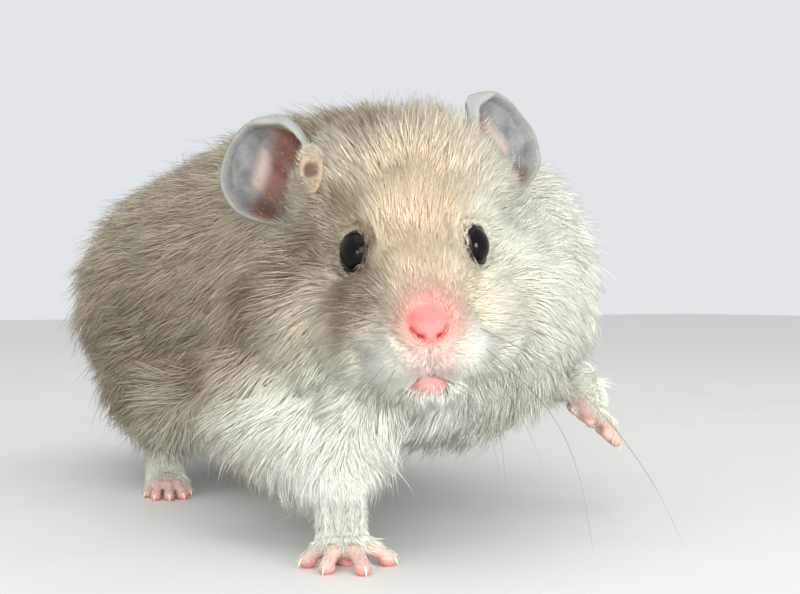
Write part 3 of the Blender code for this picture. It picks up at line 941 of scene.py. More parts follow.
@dataclass
class Hide:
    """One skin for all the flesh, inside it by the coat's depth, with lids, nostrils and lips.

    Sizes are in millimetres, and lines on the face are left and up in the head's frame. The lids
    begin so many degrees round from the eye's axis: in front, above, behind and below.
    """

    voxel: float = 0.72
    overlap: float = 0.28
    eye_swell: float = 1.06
    face_ball: tuple[Triple, float] = ((0, 4, -5), 17.0)
    muzzle_ball: tuple[Triple, float] = ((0, 13, -11), 7.6)
    eye_ball: float = 5.6
    lids: Quad = (51.0, 60.0, 66.0, 62.0)
    lid_lean: float = 6.0
    lid_height: float = 0.20
    lid_reach: float = 0.9
    rim_width: float = 5.0
    rim_height: float = 0.30
    nostril: Line = ((1.05, -9.25), (1.6, -8.95), (2.15, -8.3))
    cleft: Line = ((-0.25, -10.0), (-0.3, -13.9))
    nose_left: float = -0.25
    pad: Pair = (-0.25, -7.7)
    pad_size: Pair = (2.9, 2.75)
    mouth: Line = (
        *((-5.0, -16.6), (-3.6, -15.5), (-1.9, -14.7), (-0.3, -13.9)),
        *((1.4, -14.7), (3.2, -15.5), (4.8, -16.6)),
    )
    lower_lip: Line = ((-4.3, -16.4), (-0.3, -15.1), (3.6, -16.5), (-0.3, -16.1), (-4.3, -16.4))
    plan: CoatPlan = field(init=False)
    bare: Array = field(init=False)
    unwrap: "Unwrap" = field(init=False)

    def build(self) -> Piece:
        """Makes the skin, with the attributes that its finish reads.

        Returns:
            The skin.
        """
        bm = bmesh.new()
        for node in FLESH_NODES:
            self._add_flesh(bm, frame["nodes"][node].data)
        for side in Side:
            place = Matrix.Translation(EYE_CENTRES[side])
            bmesh.ops.create_icosphere(bm, subdivisions=4, radius=EYE_RADIUS * self.eye_swell, matrix=place)
        skin = melted("skin", bm, self.voxel, 8)
        self._refine(skin)
        mesh = skin.data
        edges = rows_of(mesh.edges, "vertices", 2, np.int32)
        places = places_of(mesh) - normals_of(mesh) * self.overlap * MM
        depth = CoatPlan.over(places).depth
        places = places - unit(evened(normals_of(mesh), edges, 4)) * depth[:, None] * MM
        places = evened(places, edges, 3)
        set_places(mesh, places)
        places = self._lids(self._face(places), edges)
        set_places(mesh, places)
        count = len(places)
        for side in Side:
            self._add_rim(mesh, side)
        places = places_of(mesh)
        lid = (np.arange(len(places)) >= count).astype(float)
        local = HEAD.local(places)
        round_eye = self._plan_coat(places)
        store(mesh, "lid", lid)
        store(mesh, "lid_skin", round_eye)
        store(mesh, "lip", self._lip_share(local) * (1 - lid))
        store(mesh, "pad", self._pad_share(local) * (1 - lid))
        self.bare = self._bare_share(places, lid)
        self.unwrap = Unwrap(skin)
        mesh.shade_smooth()
        return skin

    def _add_flesh(self, bm: Shape, mesh: Mesh) -> None:
        """Adds a closed copy of a CAD node, a little swollen so that it meets its neighbours.

        Args:
            bm: The shapes.
            mesh: The node's mesh.
        """
        piece = bmesh.new()
        piece.from_mesh(mesh)
        bmesh.ops.remove_doubles(piece, verts=piece.verts, dist=1e-7)
        piece.normal_update()
        for vert in piece.verts:
            vert.co += vert.normal * self.overlap * MM
        take_in(bm, piece)

    def _refine(self, skin: Piece) -> None:
        """Gives the face smaller faces, and the muzzle and lids the smallest.

        Args:
            skin: The skin.
        """
        bm = bmesh.new()
        bm.from_mesh(skin.data)
        face, muzzle = ((HEAD.at(*place), size) for place, size in (self.face_ball, self.muzzle_ball))
        self._subdivide(bm, [face])
        self._subdivide(bm, [muzzle, *((EYE_CENTRES[side], self.eye_ball) for side in Side)])
        bm.to_mesh(skin.data)
        bm.free()

    def _subdivide(self, bm: Shape, balls: list[tuple[Vector, float]]) -> None:
        """Halves the edges that lie in any of the balls, and smooths them.

        Args:
            bm: The skin.
            balls: Middles in the world and radii in millimetres.
        """

        def inside(vert: bmesh.types.BMVert) -> bool:
            """Whether the vertex is in a ball."""
            return any((vert.co - centre).length < radius * MM for centre, radius in balls)

        edges = [edge for edge in bm.edges if inside(edge.verts[0]) and inside(edge.verts[1])]
        bmesh.ops.subdivide_edges(bm, edges=edges, cuts=1, use_grid_fill=True)
        verts = [vert for vert in bm.verts if inside(vert)]
        for _ in range(3):
            bmesh.ops.smooth_vert(
                bm, verts=verts, factor=0.5, use_axis_x=True, use_axis_y=True, use_axis_z=True
            )

    def _face(self, places: Array) -> Array:
        """Presses in nostrils, cleft and mouth, and raises the lips.

        Args:
            places: The skin's places.

        Returns:
            The new places.
        """
        local = HEAD.local(places)
        flat = local[:, (0, 2)]
        slit = off_path(self._mirrored(flat), self.nostril)
        # How far off each fold is, where it is deepest, how wide it is and how far it rises.
        folds = (
            (slit, 0.0, 0.22, -0.7),
            (self._off_inner(flat), 0.0, 0.38, -0.7),
            (slit, 0.8, 0.38, 0.24),
            (off_path(flat, self.cleft), 0.0, 0.26, -0.5),
            (off_path(flat, self.mouth), 0.0, 0.32, -1.1),
            (off_path(flat, self.lower_lip), 0.0, 0.8, 0.45),
        )
        push = sum(rise * np.exp(-(((far - start) / width) ** 2)) for far, start, width, rise in folds)
        front = eased(local[:, 1], 9.0, 10.5)
        return places + np.array(HEAD.forward) * (push * front)[:, None] * MM

    def _mirrored(self, flat: Array) -> Array:
        """Places across and up the face, as on its left side."""
        return np.stack((np.abs(flat[:, 0] - self.nose_left), flat[:, 1]), axis=1)

    def _off_inner(self, flat: Array) -> Array:
        """How far places across and up the face are from a nostril's inner end."""
        return np.linalg.norm(self._mirrored(flat) - np.array(self.nostril[0]), axis=1)

    def _lip_share(self, local: Array) -> Array:
        """How much each vertex is bare, deep pink skin.

        Args:
            local: The vertices in the head's frame.

        Returns:
            Shares from 0 to 1.
        """
        flat = local[:, (0, 2)]
        hole = 1 - 0.45 * eased(self._off_inner(flat), 0.2, 0.6)
        slit = hole * by_path(self._mirrored(flat), self.nostril, 0.05, 0.42)
        mouth = 0.8 * by_path(flat, self.mouth, 0.2, 0.6)
        lower = 0.72 * by_path(flat, self.lower_lip, 0.2, 1.15)
        cleft = 0.8 * by_path(flat, self.cleft, 0.08, 0.3)
        return np.maximum.reduce((slit, mouth, lower, cleft)) * eased(local[:, 1], 7.0, 8.5)

    def _pad_share(self, local: Array) -> Array:
        """How much each vertex belongs to the nose pad."""
        off = (local[:, (0, 2)] - np.array(self.pad)) / np.array(self.pad_size)
        return (1 - eased(np.linalg.norm(off, axis=1), 0.72, 1.12)) * eased(local[:, 1], 9, 10.5)

    def _bare_share(self, places: Array, lid: Array) -> Array:
        """How much each vertex is without hair: the nose pad, lips, lids and open eyes.

        Args:
            places: The skin's places.
            lid: Which of them are the eyes' rims.

        Returns:
            Shares from 0 to 1.
        """
        local = HEAD.local(places)
        flat = local[:, (0, 2)]
        middle = 1 - eased(np.abs(flat[:, 0] - self.nose_left), 0.9, 2.0)
        lips = by_path(flat, self.mouth, 0.05 + 0.5 * middle, 0.25 + 0.6 * middle)
        lower = 0.95 * by_path(flat, self.lower_lip, 0.1, 0.85)
        cleft = by_path(flat, self.cleft, 0.1, 0.3)
        bare = np.maximum.reduce((lips, lower, cleft)) * eased(local[:, 1], 7.0, 8.5)
        bare = np.maximum(bare, self._pad_share(local))
        for side in Side:
            away = from_eye(side, places)
            angle, limit = self._lid_limit(side, away)
            close = np.linalg.norm(away, axis=1) < EYE_RADIUS * 1.3
            bare = np.maximum(bare, (angle < limit + 4.0) & close)
        return np.clip(np.maximum(bare, lid), 0, 1)

    def _plan_coat(self, places: Array) -> Array:
        """Plans the coat, with shorter, finer and closer hair round the eyes.

        Args:
            places: The skin's places.

        Returns:
            How near each vertex is to an eye's rim, from 0 to 1.
        """
        self.plan = CoatPlan.over(places)
        round_eye = np.zeros(len(places))
        for side in Side:
            height, across, opening = self._across(side, from_eye(side, places))
            ring = (1 - eased(across - opening, 0.05, 0.75)) * (height > -0.6) * (height < 2)
            round_eye = np.maximum(round_eye, ring)
        self.plan.length = self.plan.length * (1 - 0.55 * round_eye)
        self.plan.width = self.plan.width * (1 - 0.25 * round_eye)
        self.plan.thick = self.plan.thick * (1 + 0.4 * round_eye)
        return round_eye

    def eye_axis(self, side: Side) -> Vector:
        """Which way an eye looks."""
        return HEAD.direction(side.sign * 0.74, 0.63, 0.14).normalized()

    def _eye_axes(self, side: Side) -> tuple[Vector, Vector, Vector]:
        """An eye's axis, and the ways ahead and up across it."""
        axis = self.eye_axis(side)
        ahead = (HEAD.forward - axis * HEAD.forward.dot(axis)).normalized()
        return axis, ahead, axis.cross(ahead) * -side.sign

    def _lids_at(self, ahead: Array, up: Array) -> Array:
        """Where the lids begin, in degrees round from the axis."""
        front, top, back, below = self.lids
        level = np.where(ahead > 0, front, back)
        tall = np.where(up > 0, top, below)
        return level * ahead**2 + tall * up**2 + self.lid_lean * ahead * up

    def _lid_limit(self, side: Side, away: Array) -> tuple[Array, Array]:
        """How far places are round from an eye's axis, and where its lids begin, in degrees.

        Args:
            side: The eye's side.
            away: Places from the eye's centre.

        Returns:
            The places' angles and the lids' angles there.
        """
        axes = [np.array(axis) for axis in self._eye_axes(side)]
        toward = unit(away)
        angle = np.degrees(np.arccos(np.clip(toward @ axes[0], -1, 1)))
        x, y = toward @ axes[1], toward @ axes[2]
        size = np.maximum(np.hypot(x, y), 1e-9)
        return angle, self._lids_at(x / size, y / size)

    def _across(self, side: Side, away: Array) -> tuple[Array, Array, Array]:
        """Places round an eye as heights along its axis and distances across it."""
        angle, limit = self._lid_limit(side, away)
        radius = np.linalg.norm(away, axis=-1) / EYE_RADIUS
        turn = np.radians(angle)
        return radius * np.cos(turn), radius * np.sin(turn), np.sin(np.radians(limit))

    def before_eye(self, side: Side, away: Array, margin: float) -> Array:
        """Whether places from an eye's centre lie before its opening, these eye radii inside it."""
        height, across, opening = self._across(side, away)
        return (height > 0) & (height < 2.2) & (across < opening - margin)

    def _lids(self, places: Array, edges: Array) -> Array:
        """Draws the skin along each eye's axis, close round the eyeball and behind its opening.

        Args:
            places: The skin's places.
            edges: The skin's edges.

        Returns:
            The new places.
        """
        rim = 1 + self.lid_height * MM / EYE_RADIUS
        for side in Side:
            axis = np.array(self.eye_axis(side))
            height, across, opening = self._across(side, from_eye(side, places))
            past = across - opening
            close = np.sqrt(np.maximum(rim**2 - across**2, 0.04))
            sunk = np.sqrt(np.maximum(0.64 - across**2, 0.0))
            wanted = height + (1 - eased(past, 0.06, self.lid_reach)) * (close - height)
            wanted += (1 - eased(past, -0.06, 0.02)) * (sunk - wanted)
            wanted = np.where((height > -0.4) & (height < 2.2) & (across < 2.4), wanted, height)
            places = places + axis * ((wanted - height) * EYE_RADIUS)[:, None]
            height, across, opening = self._across(side, from_eye(side, places))
            soft = eased(across - opening, 0.08, 0.4) * (1 - eased(across, 2.4, 3.4)) * (height > -1)
            for _ in range(10):
                places = places + soft[:, None] * (evened(places, edges, 1, 0.8) - places)
        return places

    def _add_rim(self, mesh: Mesh, side: Side) -> None:
        """Adds a rounded dark rim along an eye's opening to the skin.

        Args:
            mesh: The skin's mesh.
            side: The eye's side.
        """
        bm = bmesh.new()
        bmesh.ops.create_circle(bm, segments=12, radius=0.1)
        bmesh.ops.rotate(bm, matrix=Matrix.Rotation(math.radians(90), 3, "X"), verts=bm.verts)
        bmesh.ops.translate(bm, vec=(1, 0, 0), verts=bm.verts)
        bmesh.ops.spin(bm, geom=bm.verts[:] + bm.edges[:], axis=(0, 0, 1), angle=2 * math.pi, steps=110)
        bmesh.ops.remove_doubles(bm, verts=bm.verts, dist=1e-5)
        axis, ahead, up = self._eye_axes(side)
        for vert in bm.verts:
            far = math.hypot(vert.co.x, vert.co.y)
            x, y = vert.co.x / far, vert.co.y / far
            limit = float(self._lids_at(np.array(x), np.array(y))) + (far - 1) * 10 * self.rim_width
            turn = math.radians(limit)
            toward = axis * math.cos(turn) + (ahead * x + up * y) * math.sin(turn)
            height = EYE_RADIUS + (0.06 + vert.co.z * 10 * self.rim_height) * MM
            vert.co = EYE_CENTRES[side] + toward * height
        bmesh.ops.recalc_face_normals(bm, faces=bm.faces)
        joined = bmesh.new()
        joined.from_mesh(mesh)
        take_in(joined, bm)
        joined.to_mesh(mesh)
        joined.free()


# Coat


class Waves:
    """Smooth noise over the body, made of sine waves."""

    count: int = 14

    def __init__(self, seed: int, length: float) -> None:
        """Draws the waves."""
        draw = np.random.default_rng(seed)
        self.ways = unit(draw.normal(size=(self.count, 3))) * 2 * math.pi / (length * MM)
        self.ways *= draw.uniform(0.7, 1.5, (self.count, 1))
        self.starts = draw.uniform(0, 2 * math.pi, self.count)

    def at(self, points: Array) -> Array:
        """The noise at world places, mostly from -1 to 1."""
        waves = np.sin(points @ self.ways.T + self.starts)
        return waves.sum(axis=1) / math.sqrt(len(self.starts) / 2)


@dataclass
class Hairs:
    """Many hairs as arrays, in world metres and radians."""

    root: Array
    normal: Array
    flow: Array
    length: Array
    width: Array
    lift: Array
    curl: Array
    chance: Array
    ticking: Array

    def kept(self, mask: Array) -> "Hairs":
        """The hairs that the mask, or a list of their numbers, picks."""
        return Hairs(*(getattr(self, name)[mask] for name in self.__dataclass_fields__))

    def paths(self, heights: Array) -> Array:
        """Each hair's line: raised at the root and bent over to lie down.

        Args:
            heights: Shares of the length.

        Returns:
            A place for each hair and height.
        """
        share = heights[None, :, None]
        length = self.length[:, None, None]
        lift = self.lift[:, None, None]
        along = share * np.cos(lift * 0.85)
        raised = np.sin(lift) * (1.42 * share - 0.55 * share**2)
        aside = np.cross(self.normal, self.flow)[:, None, :]
        bend = self.curl[:, None, None] * share**2
        way = along * self.flow[:, None, :] + raised * self.normal[:, None, :] + bend * aside
        return self.root[:, None, :] + length * way

    def over_floor(self, heights: Array, least: float) -> Array:
        """Whether each hair stays this many millimetres over the floor."""
        return self.paths(heights)[:, :, 2].min(axis=1) > least * MM


class Strand:
    """A thin three-sided spike, as the pattern of one hair or fine tuft."""

    flatness: float = 0.7

    def __init__(self, heights: tuple[float, ...], taper: tuple[float, ...], rooted: bool = True) -> None:
        """Makes the pattern.

        Args:
            heights: Where its rings are, as shares of its length, from 0 to its point at 1.
            taper: Each ring's share of the width.
            rooted: Whether it narrows to a point at its root too.
        """
        bm = bmesh.new()
        bmesh.ops.create_cone(bm, cap_ends=True, segments=3, radius1=1.0, radius2=0.0, depth=1.0)
        bmesh.ops.remove_doubles(bm, verts=bm.verts, dist=1e-5)
        bmesh.ops.translate(bm, vec=(0, 0, 0.5), verts=bm.verts)
        for height in heights[1:-1]:
            sliced(bm, height)
        if rooted:
            base = [vert for vert in bm.verts if vert.co.z < 1e-6]
            bmesh.ops.pointmerge(bm, verts=base, merge_co=(0, 0, 0))
        bm.verts.index_update()
        bm.verts.ensure_lookup_table()
        places = np.array([vert.co[:] for vert in bm.verts])
        self.heights = np.array(heights)
        self.ring = np.abs(places[:, 2:3] - self.heights[None, :]).argmin(axis=1)
        angles = np.arctan2(places[:, 1], places[:, 0])
        size = np.array(taper)[self.ring]
        self.across = np.cos(angles) * size
        self.upward = np.sin(angles) * size
        self.turn = (angles / (2 * math.pi)) % 1.0
        self.faces = [[vert.index for vert in face.verts] for face in bm.faces]
        bm.free()

    def grown(self, name: str, hairs: Hairs, lines: Array, corner: Array | None = None) -> Piece:
        """One mesh of a spike along each line.

        Args:
            name: The object's name.
            hairs: The hairs.
            lines: Their places at the pattern's heights.
            corner: Each root's place on the skin's unwrap, if the piece is unwrapped.

        Returns:
            The object, with root and hair attributes.
        """
        count, size = len(lines), len(self.ring)
        ahead = np.gradient(lines, axis=1)
        side = unit(np.cross(ahead, hairs.normal[:, None, :]))
        over = unit(np.cross(side, ahead))
        half = hairs.width[:, None, None] / 2
        places = lines[:, self.ring]
        places = places + side[:, self.ring] * self.across[None, :, None] * half
        places = places + over[:, self.ring] * self.upward[None, :, None] * half * self.flatness
        mesh = bpy.data.meshes.new(name)
        mesh.vertices.add(count * size)
        mesh.vertices.foreach_set("co", places.astype(np.float32).ravel())
        pattern = np.array([index for face in self.faces for index in face], np.int32)
        starts = np.cumsum([0] + [len(face) for face in self.faces[:-1]]).astype(np.int32)
        shift = np.arange(count, dtype=np.int32)[:, None]
        mesh.loops.add(count * len(pattern))
        mesh.loops.foreach_set("vertex_index", (shift * size + pattern).ravel())
        mesh.polygons.add(count * len(starts))
        mesh.polygons.foreach_set("loop_start", (shift * len(pattern) + starts).ravel())
        mesh.update(calc_edges=True)
        mesh.shade_smooth()
        store(mesh, "root", np.repeat(hairs.root, size, axis=0))
        hair = np.empty((count, size, 3))
        hair[:, :, 0] = hairs.chance[:, None]
        hair[:, :, 1] = self.heights[self.ring][None, :]
        hair[:, :, 2] = hairs.ticking[:, None]
        store(mesh, "hair", hair.reshape(-1, 3))
        if corner is not None:
            patch = np.stack((self.turn[pattern], self.heights[self.ring][pattern]), axis=1)
            bake = corner[:, None, :] + (patch[None] - 0.5) * UNWRAP_PATCH
            layer = mesh.uv_layers.new(name="OFBake")
            layer.uv.foreach_set("vector", bake.astype(np.float32).ravel())
        return new_object(name, mesh)


FINE_STRAND = ((0.0, 0.38, 1.0), (0.0, 1.0, 0.0))
LONG_STRAND = ((0.0, 0.28, 0.62, 1.0), (0.0, 1.0, 0.75, 0.0))
UNWRAP_PATCH = 0.003


@dataclass
class Scatter:
    """Roots spread over a mesh, as the corners of a triangle and the share of each."""

    corners: Array
    shares: Array

    @classmethod
    def over(cls, mesh: Mesh, density: Array, draw: np.random.Generator) -> "Scatter":
        """Draws the roots.

        Args:
            mesh: What they stand on.
            density: Roots to a square millimetre, for each vertex.
            draw: The source of chance.

        Returns:
            The roots.
        """
        mesh.calc_loop_triangles()
        triangles = rows_of(mesh.loop_triangles, "vertices", 3, np.int32)
        a, b, c = (places_of(mesh)[triangles[:, corner]] for corner in range(3))
        area = np.linalg.norm(np.cross(b - a, c - a), axis=1) / 2 / MM**2
        total = np.cumsum(area * density[triangles].mean(axis=1))
        count = int(total[-1])
        picks = (np.arange(count) + draw.random(count)) / count * total[-1]
        chosen = np.minimum(np.searchsorted(total, picks), len(triangles) - 1)
        one, two = draw.random((2, count))
        swap = one + two > 1
        one, two = np.where(swap, 1 - one, one), np.where(swap, 1 - two, two)
        return cls(triangles[chosen], np.stack((1 - one - two, one, two), axis=1))

    def of(self, values: Array) -> Array:
        """A vertex value at each root."""
        shares = self.shares.reshape(*self.shares.shape, *[1] * (values.ndim - 1))
        return (values[self.corners] * shares).sum(axis=1)


@dataclass
class Down:
    """Fine short hairs on a small bare piece, in millimetres and degrees for each vertex."""

    name: str
    piece: Piece
    seed: int
    density: Array
    lead: Array
    length: Array
    width: Array
    lift: Pair = (6, 22)
    sink: float = 0.04

    def grow(self, unwrap: "Unwrap") -> Piece:
        """Makes the hairs.

        Args:
            unwrap: Where they take their places on the map.

        Returns:
            The hairs.
        """
        draw, mesh = np.random.default_rng(self.seed), self.piece.data
        scatter = Scatter.over(mesh, self.density * COAT_SHARE, draw)
        root = scatter.of(places_of(mesh))
        normal = unit(scatter.of(normals_of(mesh)))
        count = len(root)
        hairs = Hairs(
            root - normal * self.sink * MM,
            normal,
            laid(scatter.of(self.lead), normal),
            scatter.of(self.length) * draw.uniform(0.65, 1.25, count) * MM,
            scatter.of(self.width) * draw.uniform(0.8, 1.2, count) * MM,
            np.radians(draw.uniform(*self.lift, count)),
            draw.normal(0, 0.12, count),
            draw.random(count),
            np.zeros(count),
        )
        hairs = hairs.kept(hairs.over_floor(np.array((0.0, 0.5, 1.0)), 0.05))
        strand = Strand(*FINE_STRAND)
        return strand.grown(self.name, hairs, hairs.paths(strand.heights), unwrap.find(hairs.root))


@dataclass(frozen=True)
class CoatPart:
    """A part of the coat that is a piece of its own, round a place."""

    name: str
    slot: str
    place: Triple
    on_head: bool = False


COAT_PARTS = (
    CoatPart("muzzle", "fur_face", (0, 13, -10), True),
    CoatPart("brow", "fur_face", (0, 3, 8), True),
    CoatPart("crown", "fur_face", (0, -14, 15), True),
    CoatPart("cheek_right", "fur_face", (-16, -4, -8), True),
    CoatPart("cheek_left", "fur_face", (16, -4, -8), True),
    CoatPart("throat", "fur_white", (0, 0, -20), True),
    CoatPart("arm_right", "fur_white", (-20, -44, 14)),
    CoatPart("arm_left", "fur_white", (24, -34, 22)),
    CoatPart("withers", "fur_cream", (4, -26, 56)),
    CoatPart("side_right", "fur_cream", (-28, -6, 34)),
    CoatPart("side_left", "fur_cream", (30, -2, 34)),
    CoatPart("back", "fur_cream", (0, 12, 62)),
    CoatPart("haunch_right", "fur_cream", (-28, 34, 26)),
    CoatPart("haunch_left", "fur_cream", (30, 34, 26)),
    CoatPart("rump", "fur_cream", (0, 52, 42)),
    CoatPart("belly", "fur_white", (0, 8, 8)),
)


@dataclass
class Coat:
    """The fur: thin tufts that overlap, lie along the body and gather into points."""

    hide: Hide
    skin: Piece
    layers: float = 4.2
    seed: int = 11
    clump: float = 0.45
    per_clump: int = 9
    fine_below: float = 6.4
    guard_share: float = 0.07
    probes: int = 9

    def build(self, finish: Material) -> None:
        """Grows the coat and dresses each part of it.

        Args:
            finish: Its material.
        """
        draw = np.random.default_rng(self.seed)
        mesh, plan = self.skin.data, self.hide.plan
        density = plan.thick * self.layers * COAT_SHARE / (0.6 * plan.length * plan.width)
        scatter = Scatter.over(mesh, density * (1 - self.hide.bare), draw)
        hairs = self._hairs(scatter, draw)
        fine = hairs.length < self.fine_below * MM
        self._grow(Strand(*FINE_STRAND), hairs.kept(fine), "_short", finish)
        self._grow(Strand(*LONG_STRAND), hairs.kept(~fine), "", finish)

    def _hairs(self, scatter: Scatter, draw: np.random.Generator) -> Hairs:
        """The hairs' roots, lengths and lie, with some chance in each.

        Args:
            scatter: The roots.
            draw: The source of chance.

        Returns:
            The hairs.
        """
        mesh, plan = self.skin.data, self.hide.plan
        root = scatter.of(places_of(mesh))
        normal = unit(scatter.of(normals_of(mesh)))
        count = len(root)
        flow = laid(self._round_eyes(root, scatter.of(plan.flow)), normal)
        turn = 0.15 * Waves(3, 11).at(root) + 0.11 * Waves(4, 4).at(root) + draw.normal(0, 0.10, count)
        aside = np.cross(normal, flow)
        flow = flow * np.cos(turn)[:, None] + aside * np.sin(turn)[:, None]
        length = scatter.of(plan.length) * MM
        length *= np.clip(1 + draw.normal(0, 0.15, count) + 0.08 * Waves(5, 5).at(root), 0.5, 1.5)
        width = scatter.of(plan.width) * MM * draw.uniform(0.75, 1.2, count)
        lift = np.radians(scatter.of(plan.lift) + draw.normal(0, 3.5, count) + 2.5 * Waves(6, 6).at(root))
        guard = draw.random(count) < self.guard_share
        length = np.where(guard, length * 1.22, length)
        width = np.where(guard, width * 0.65, width)
        lift = np.where(guard, lift + 0.12, lift)
        ticking = np.clip(draw.normal(0.0, 0.5, count), 0, 1) * self._ticked(root)
        return Hairs(
            root - normal * length[:, None] * 0.012,
            normal,
            flow,
            length,
            width,
            np.clip(lift, 0.04, 1.2),
            draw.normal(0, 0.10, count) + 0.08 * Waves(7, 4).at(root),
            draw.random(count),
            ticking,
        )

    def _ticked(self, root: Array) -> Array:
        """How dark the hair's tips are: most on the crown, brow and nape, least below."""
        crown = 1 - eased(np.linalg.norm(HEAD.local(root) - np.array((-2, -9, 14)), axis=1), 9, 22)
        return np.maximum(crown * 0.8, eased(root[:, 2] / MM, 34, 52) * 0.45)

    def _round_eyes(self, root: Array, flow: Array) -> Array:
        """Leads the coat round the eyes rather than over them.

        Args:
            root: The hairs' roots.
            flow: Which way they lie.

        Returns:
            The new ways.
        """
        flow = unit(flow)
        for side in Side:
            away = from_eye(side, root)
            axis = np.array(self.hide.eye_axis(side))
            flat = unit(away - (away @ axis)[:, None] * axis)
            near = 1 - eased(np.linalg.norm(away, axis=1) / EYE_RADIUS, 1.5, 2.6)
            inward = np.minimum((flow * flat).sum(axis=1), 0.25 * near)
            flow = flow + flat * (near * (0.25 * near - inward))[:, None]
        return flow

    def _clear_eyes(self, lines: Array) -> Array:
        """How much of each hair may stand before it would cover an open eye.

        Args:
            lines: The hairs' lines.

        Returns:
            Shares from 0 to 1.
        """
        share = np.ones(len(lines))
        steps = lines.shape[1]
        for side in Side:
            inside = self.hide.before_eye(side, from_eye(side, lines), 0.05)
            first = np.where(inside.any(axis=1), inside.argmax(axis=1), steps)
            free = np.where(first < steps, np.maximum(first - 1, 0) / (steps - 1), 1.0)
            share = np.minimum(share, free)
        return share

    def _gathered(self, hairs: Hairs, lines: Array, heights: Array) -> Array:
        """Draws the hairs' lines towards the nearest leader's, more to the tip.

        Args:
            hairs: The hairs.
            lines: Their lines.
            heights: The shares of the length that the lines have places at.

        Returns:
            The new lines.
        """
        leaders = np.arange(0, len(lines), self.per_clump)
        tree = KDTree(len(leaders))
        for number, leader in enumerate(leaders):
            tree.insert(hairs.root[leader], number)
        tree.balance()
        nearest = leaders[[tree.find(place)[1] for place in hairs.root]]
        gap = np.linalg.norm(hairs.root - hairs.root[nearest], axis=1)
        close = 1 - eased(gap / hairs.length, 0.45, 0.8)
        pull = self.clump * close[:, None] * heights[None, :] ** 1.3
        pull *= 0.6 + 0.8 * hairs.chance[nearest][:, None]
        scale = (hairs.length / hairs.length[nearest])[:, None, None]
        lead = hairs.root[nearest][:, None] + (lines[nearest] - hairs.root[nearest][:, None]) * scale
        return lines + (lead - lines) * np.clip(pull, 0, 0.9)[:, :, None]

    def _grow(self, strand: Strand, hairs: Hairs, suffix: str, finish: Material) -> None:
        """Clears the eyes, gathers the hairs into clumps and makes the pieces of them.

        Args:
            strand: The pattern of each.
            hairs: The hairs.
            suffix: What follows the part's name.
            finish: Their material.
        """
        heights = np.linspace(0, 1, self.probes)
        share = self._clear_eyes(hairs.paths(heights))
        hairs.length = hairs.length * np.where(share < 1, share * 0.92, 1.0)
        hairs = hairs.kept((share > 0.3) & hairs.over_floor(heights, 0.15))
        lines = self._gathered(hairs, hairs.paths(strand.heights), strand.heights)
        corners = self.hide.unwrap.find(hairs.root)
        homes = np.array([spot(part.place, part.on_head) for part in COAT_PARTS])
        home = np.linalg.norm(hairs.root[:, None] - homes[None], axis=2).argmin(axis=1)
        for number, part in enumerate(COAT_PARTS):
            some = np.flatnonzero(home == number)
            name = f"coat_{part.name}{suffix}"
            obj = strand.grown(name, hairs.kept(some), lines[some], corners[some])
            finish_piece(obj, finish, part.slot)


class Unwrap:
    """A rough unwrap of the skin's shape, from which each hair takes its place on the map."""

    def __init__(self, skin: Piece, share: float = 0.035) -> None:
        """Thins a copy of the skin and unwraps it.

        Args:
            skin: The skin.
            share: How much of its faces the copy keeps.
        """
        rough = new_object("unwrap", skin.data.copy())
        thin = rough.modifiers.new("thin", "DECIMATE")
        thin.ratio = share
        rough = applied(rough)
        bpy.ops.object.select_all(action="DESELECT")
        rough.select_set(True)
        bpy.context.view_layer.objects.active = rough
        bpy.ops.object.mode_set(mode="EDIT")
        bpy.ops.mesh.select_all(action="SELECT")
        bpy.ops.uv.smart_project(angle_limit=math.radians(60), island_margin=0.008)
        bpy.ops.object.mode_set(mode="OBJECT")
        mesh = rough.data
        self.tree = BVHTree.FromPolygons(
            [vert.co[:] for vert in mesh.vertices], [face.vertices[:] for face in mesh.polygons]
        )
        starts = np.array([face.loop_start for face in mesh.polygons])
        corners = np.array([face.vertices[:3] for face in mesh.polygons])
        self.corners = places_of(mesh)[corners]
        self.map = rows_of(mesh.uv_layers.active.uv, "vector", 2)[starts[:, None] + np.arange(3)]
        bpy.data.objects.remove(rough, do_unlink=True)

    def find(self, points: Array) -> Array:
        """Looks up world points on the map.

        Args:
            points: The points.

        Returns:
            Their map places.
        """
        faces = np.array([self.tree.find_nearest(point)[2] for point in points.tolist()])
        a, b, c = (self.corners[faces, corner] for corner in range(3))
        normal = np.cross(b - a, c - a)
        size = np.maximum((normal**2).sum(axis=1), 1e-24)
        second = (np.cross(points - a, c - a) * normal).sum(axis=1) / size
        third = (np.cross(b - a, points - a) * normal).sum(axis=1) / size
        second, third = np.clip(second, 0, 1), np.clip(third, 0, 1)
        first = np.clip(1 - second - third, 0, 1)
        shares = np.stack((first, second, third), axis=1)
        shares /= shares.sum(axis=1, keepdims=True)
        return (self.map[faces] * shares[:, :, None]).sum(axis=1)


# Eyes


@dataclass
class Eye:
    """An eyeball with a slightly swollen cornea."""

    side: Side
    axis: Vector
    swell: float = 0.03
    cornea: float = 0.6

    def build(self) -> Piece:
        """Makes the eyeball.

        Returns:
            The eyeball.
        """
        bm = bmesh.new()
        turn = self.axis.to_track_quat("Z", "Y").to_matrix().to_4x4()
        bmesh.ops.create_uvsphere(bm, u_segments=64, v_segments=40, radius=EYE_RADIUS)
        for vert in bm.verts:
            rise = max(0.0, vert.co.z / EYE_RADIUS - self.cornea) / (1 - self.cornea)
            vert.co *= 1 + self.swell * rise * rise * (3 - 2 * rise)
        bmesh.ops.transform(bm, matrix=Matrix.Translation(EYE_CENTRES[self.side]) @ turn, verts=bm.verts)
        return object_from(f"eyeball_{self.side.value}", bm)


# Ears

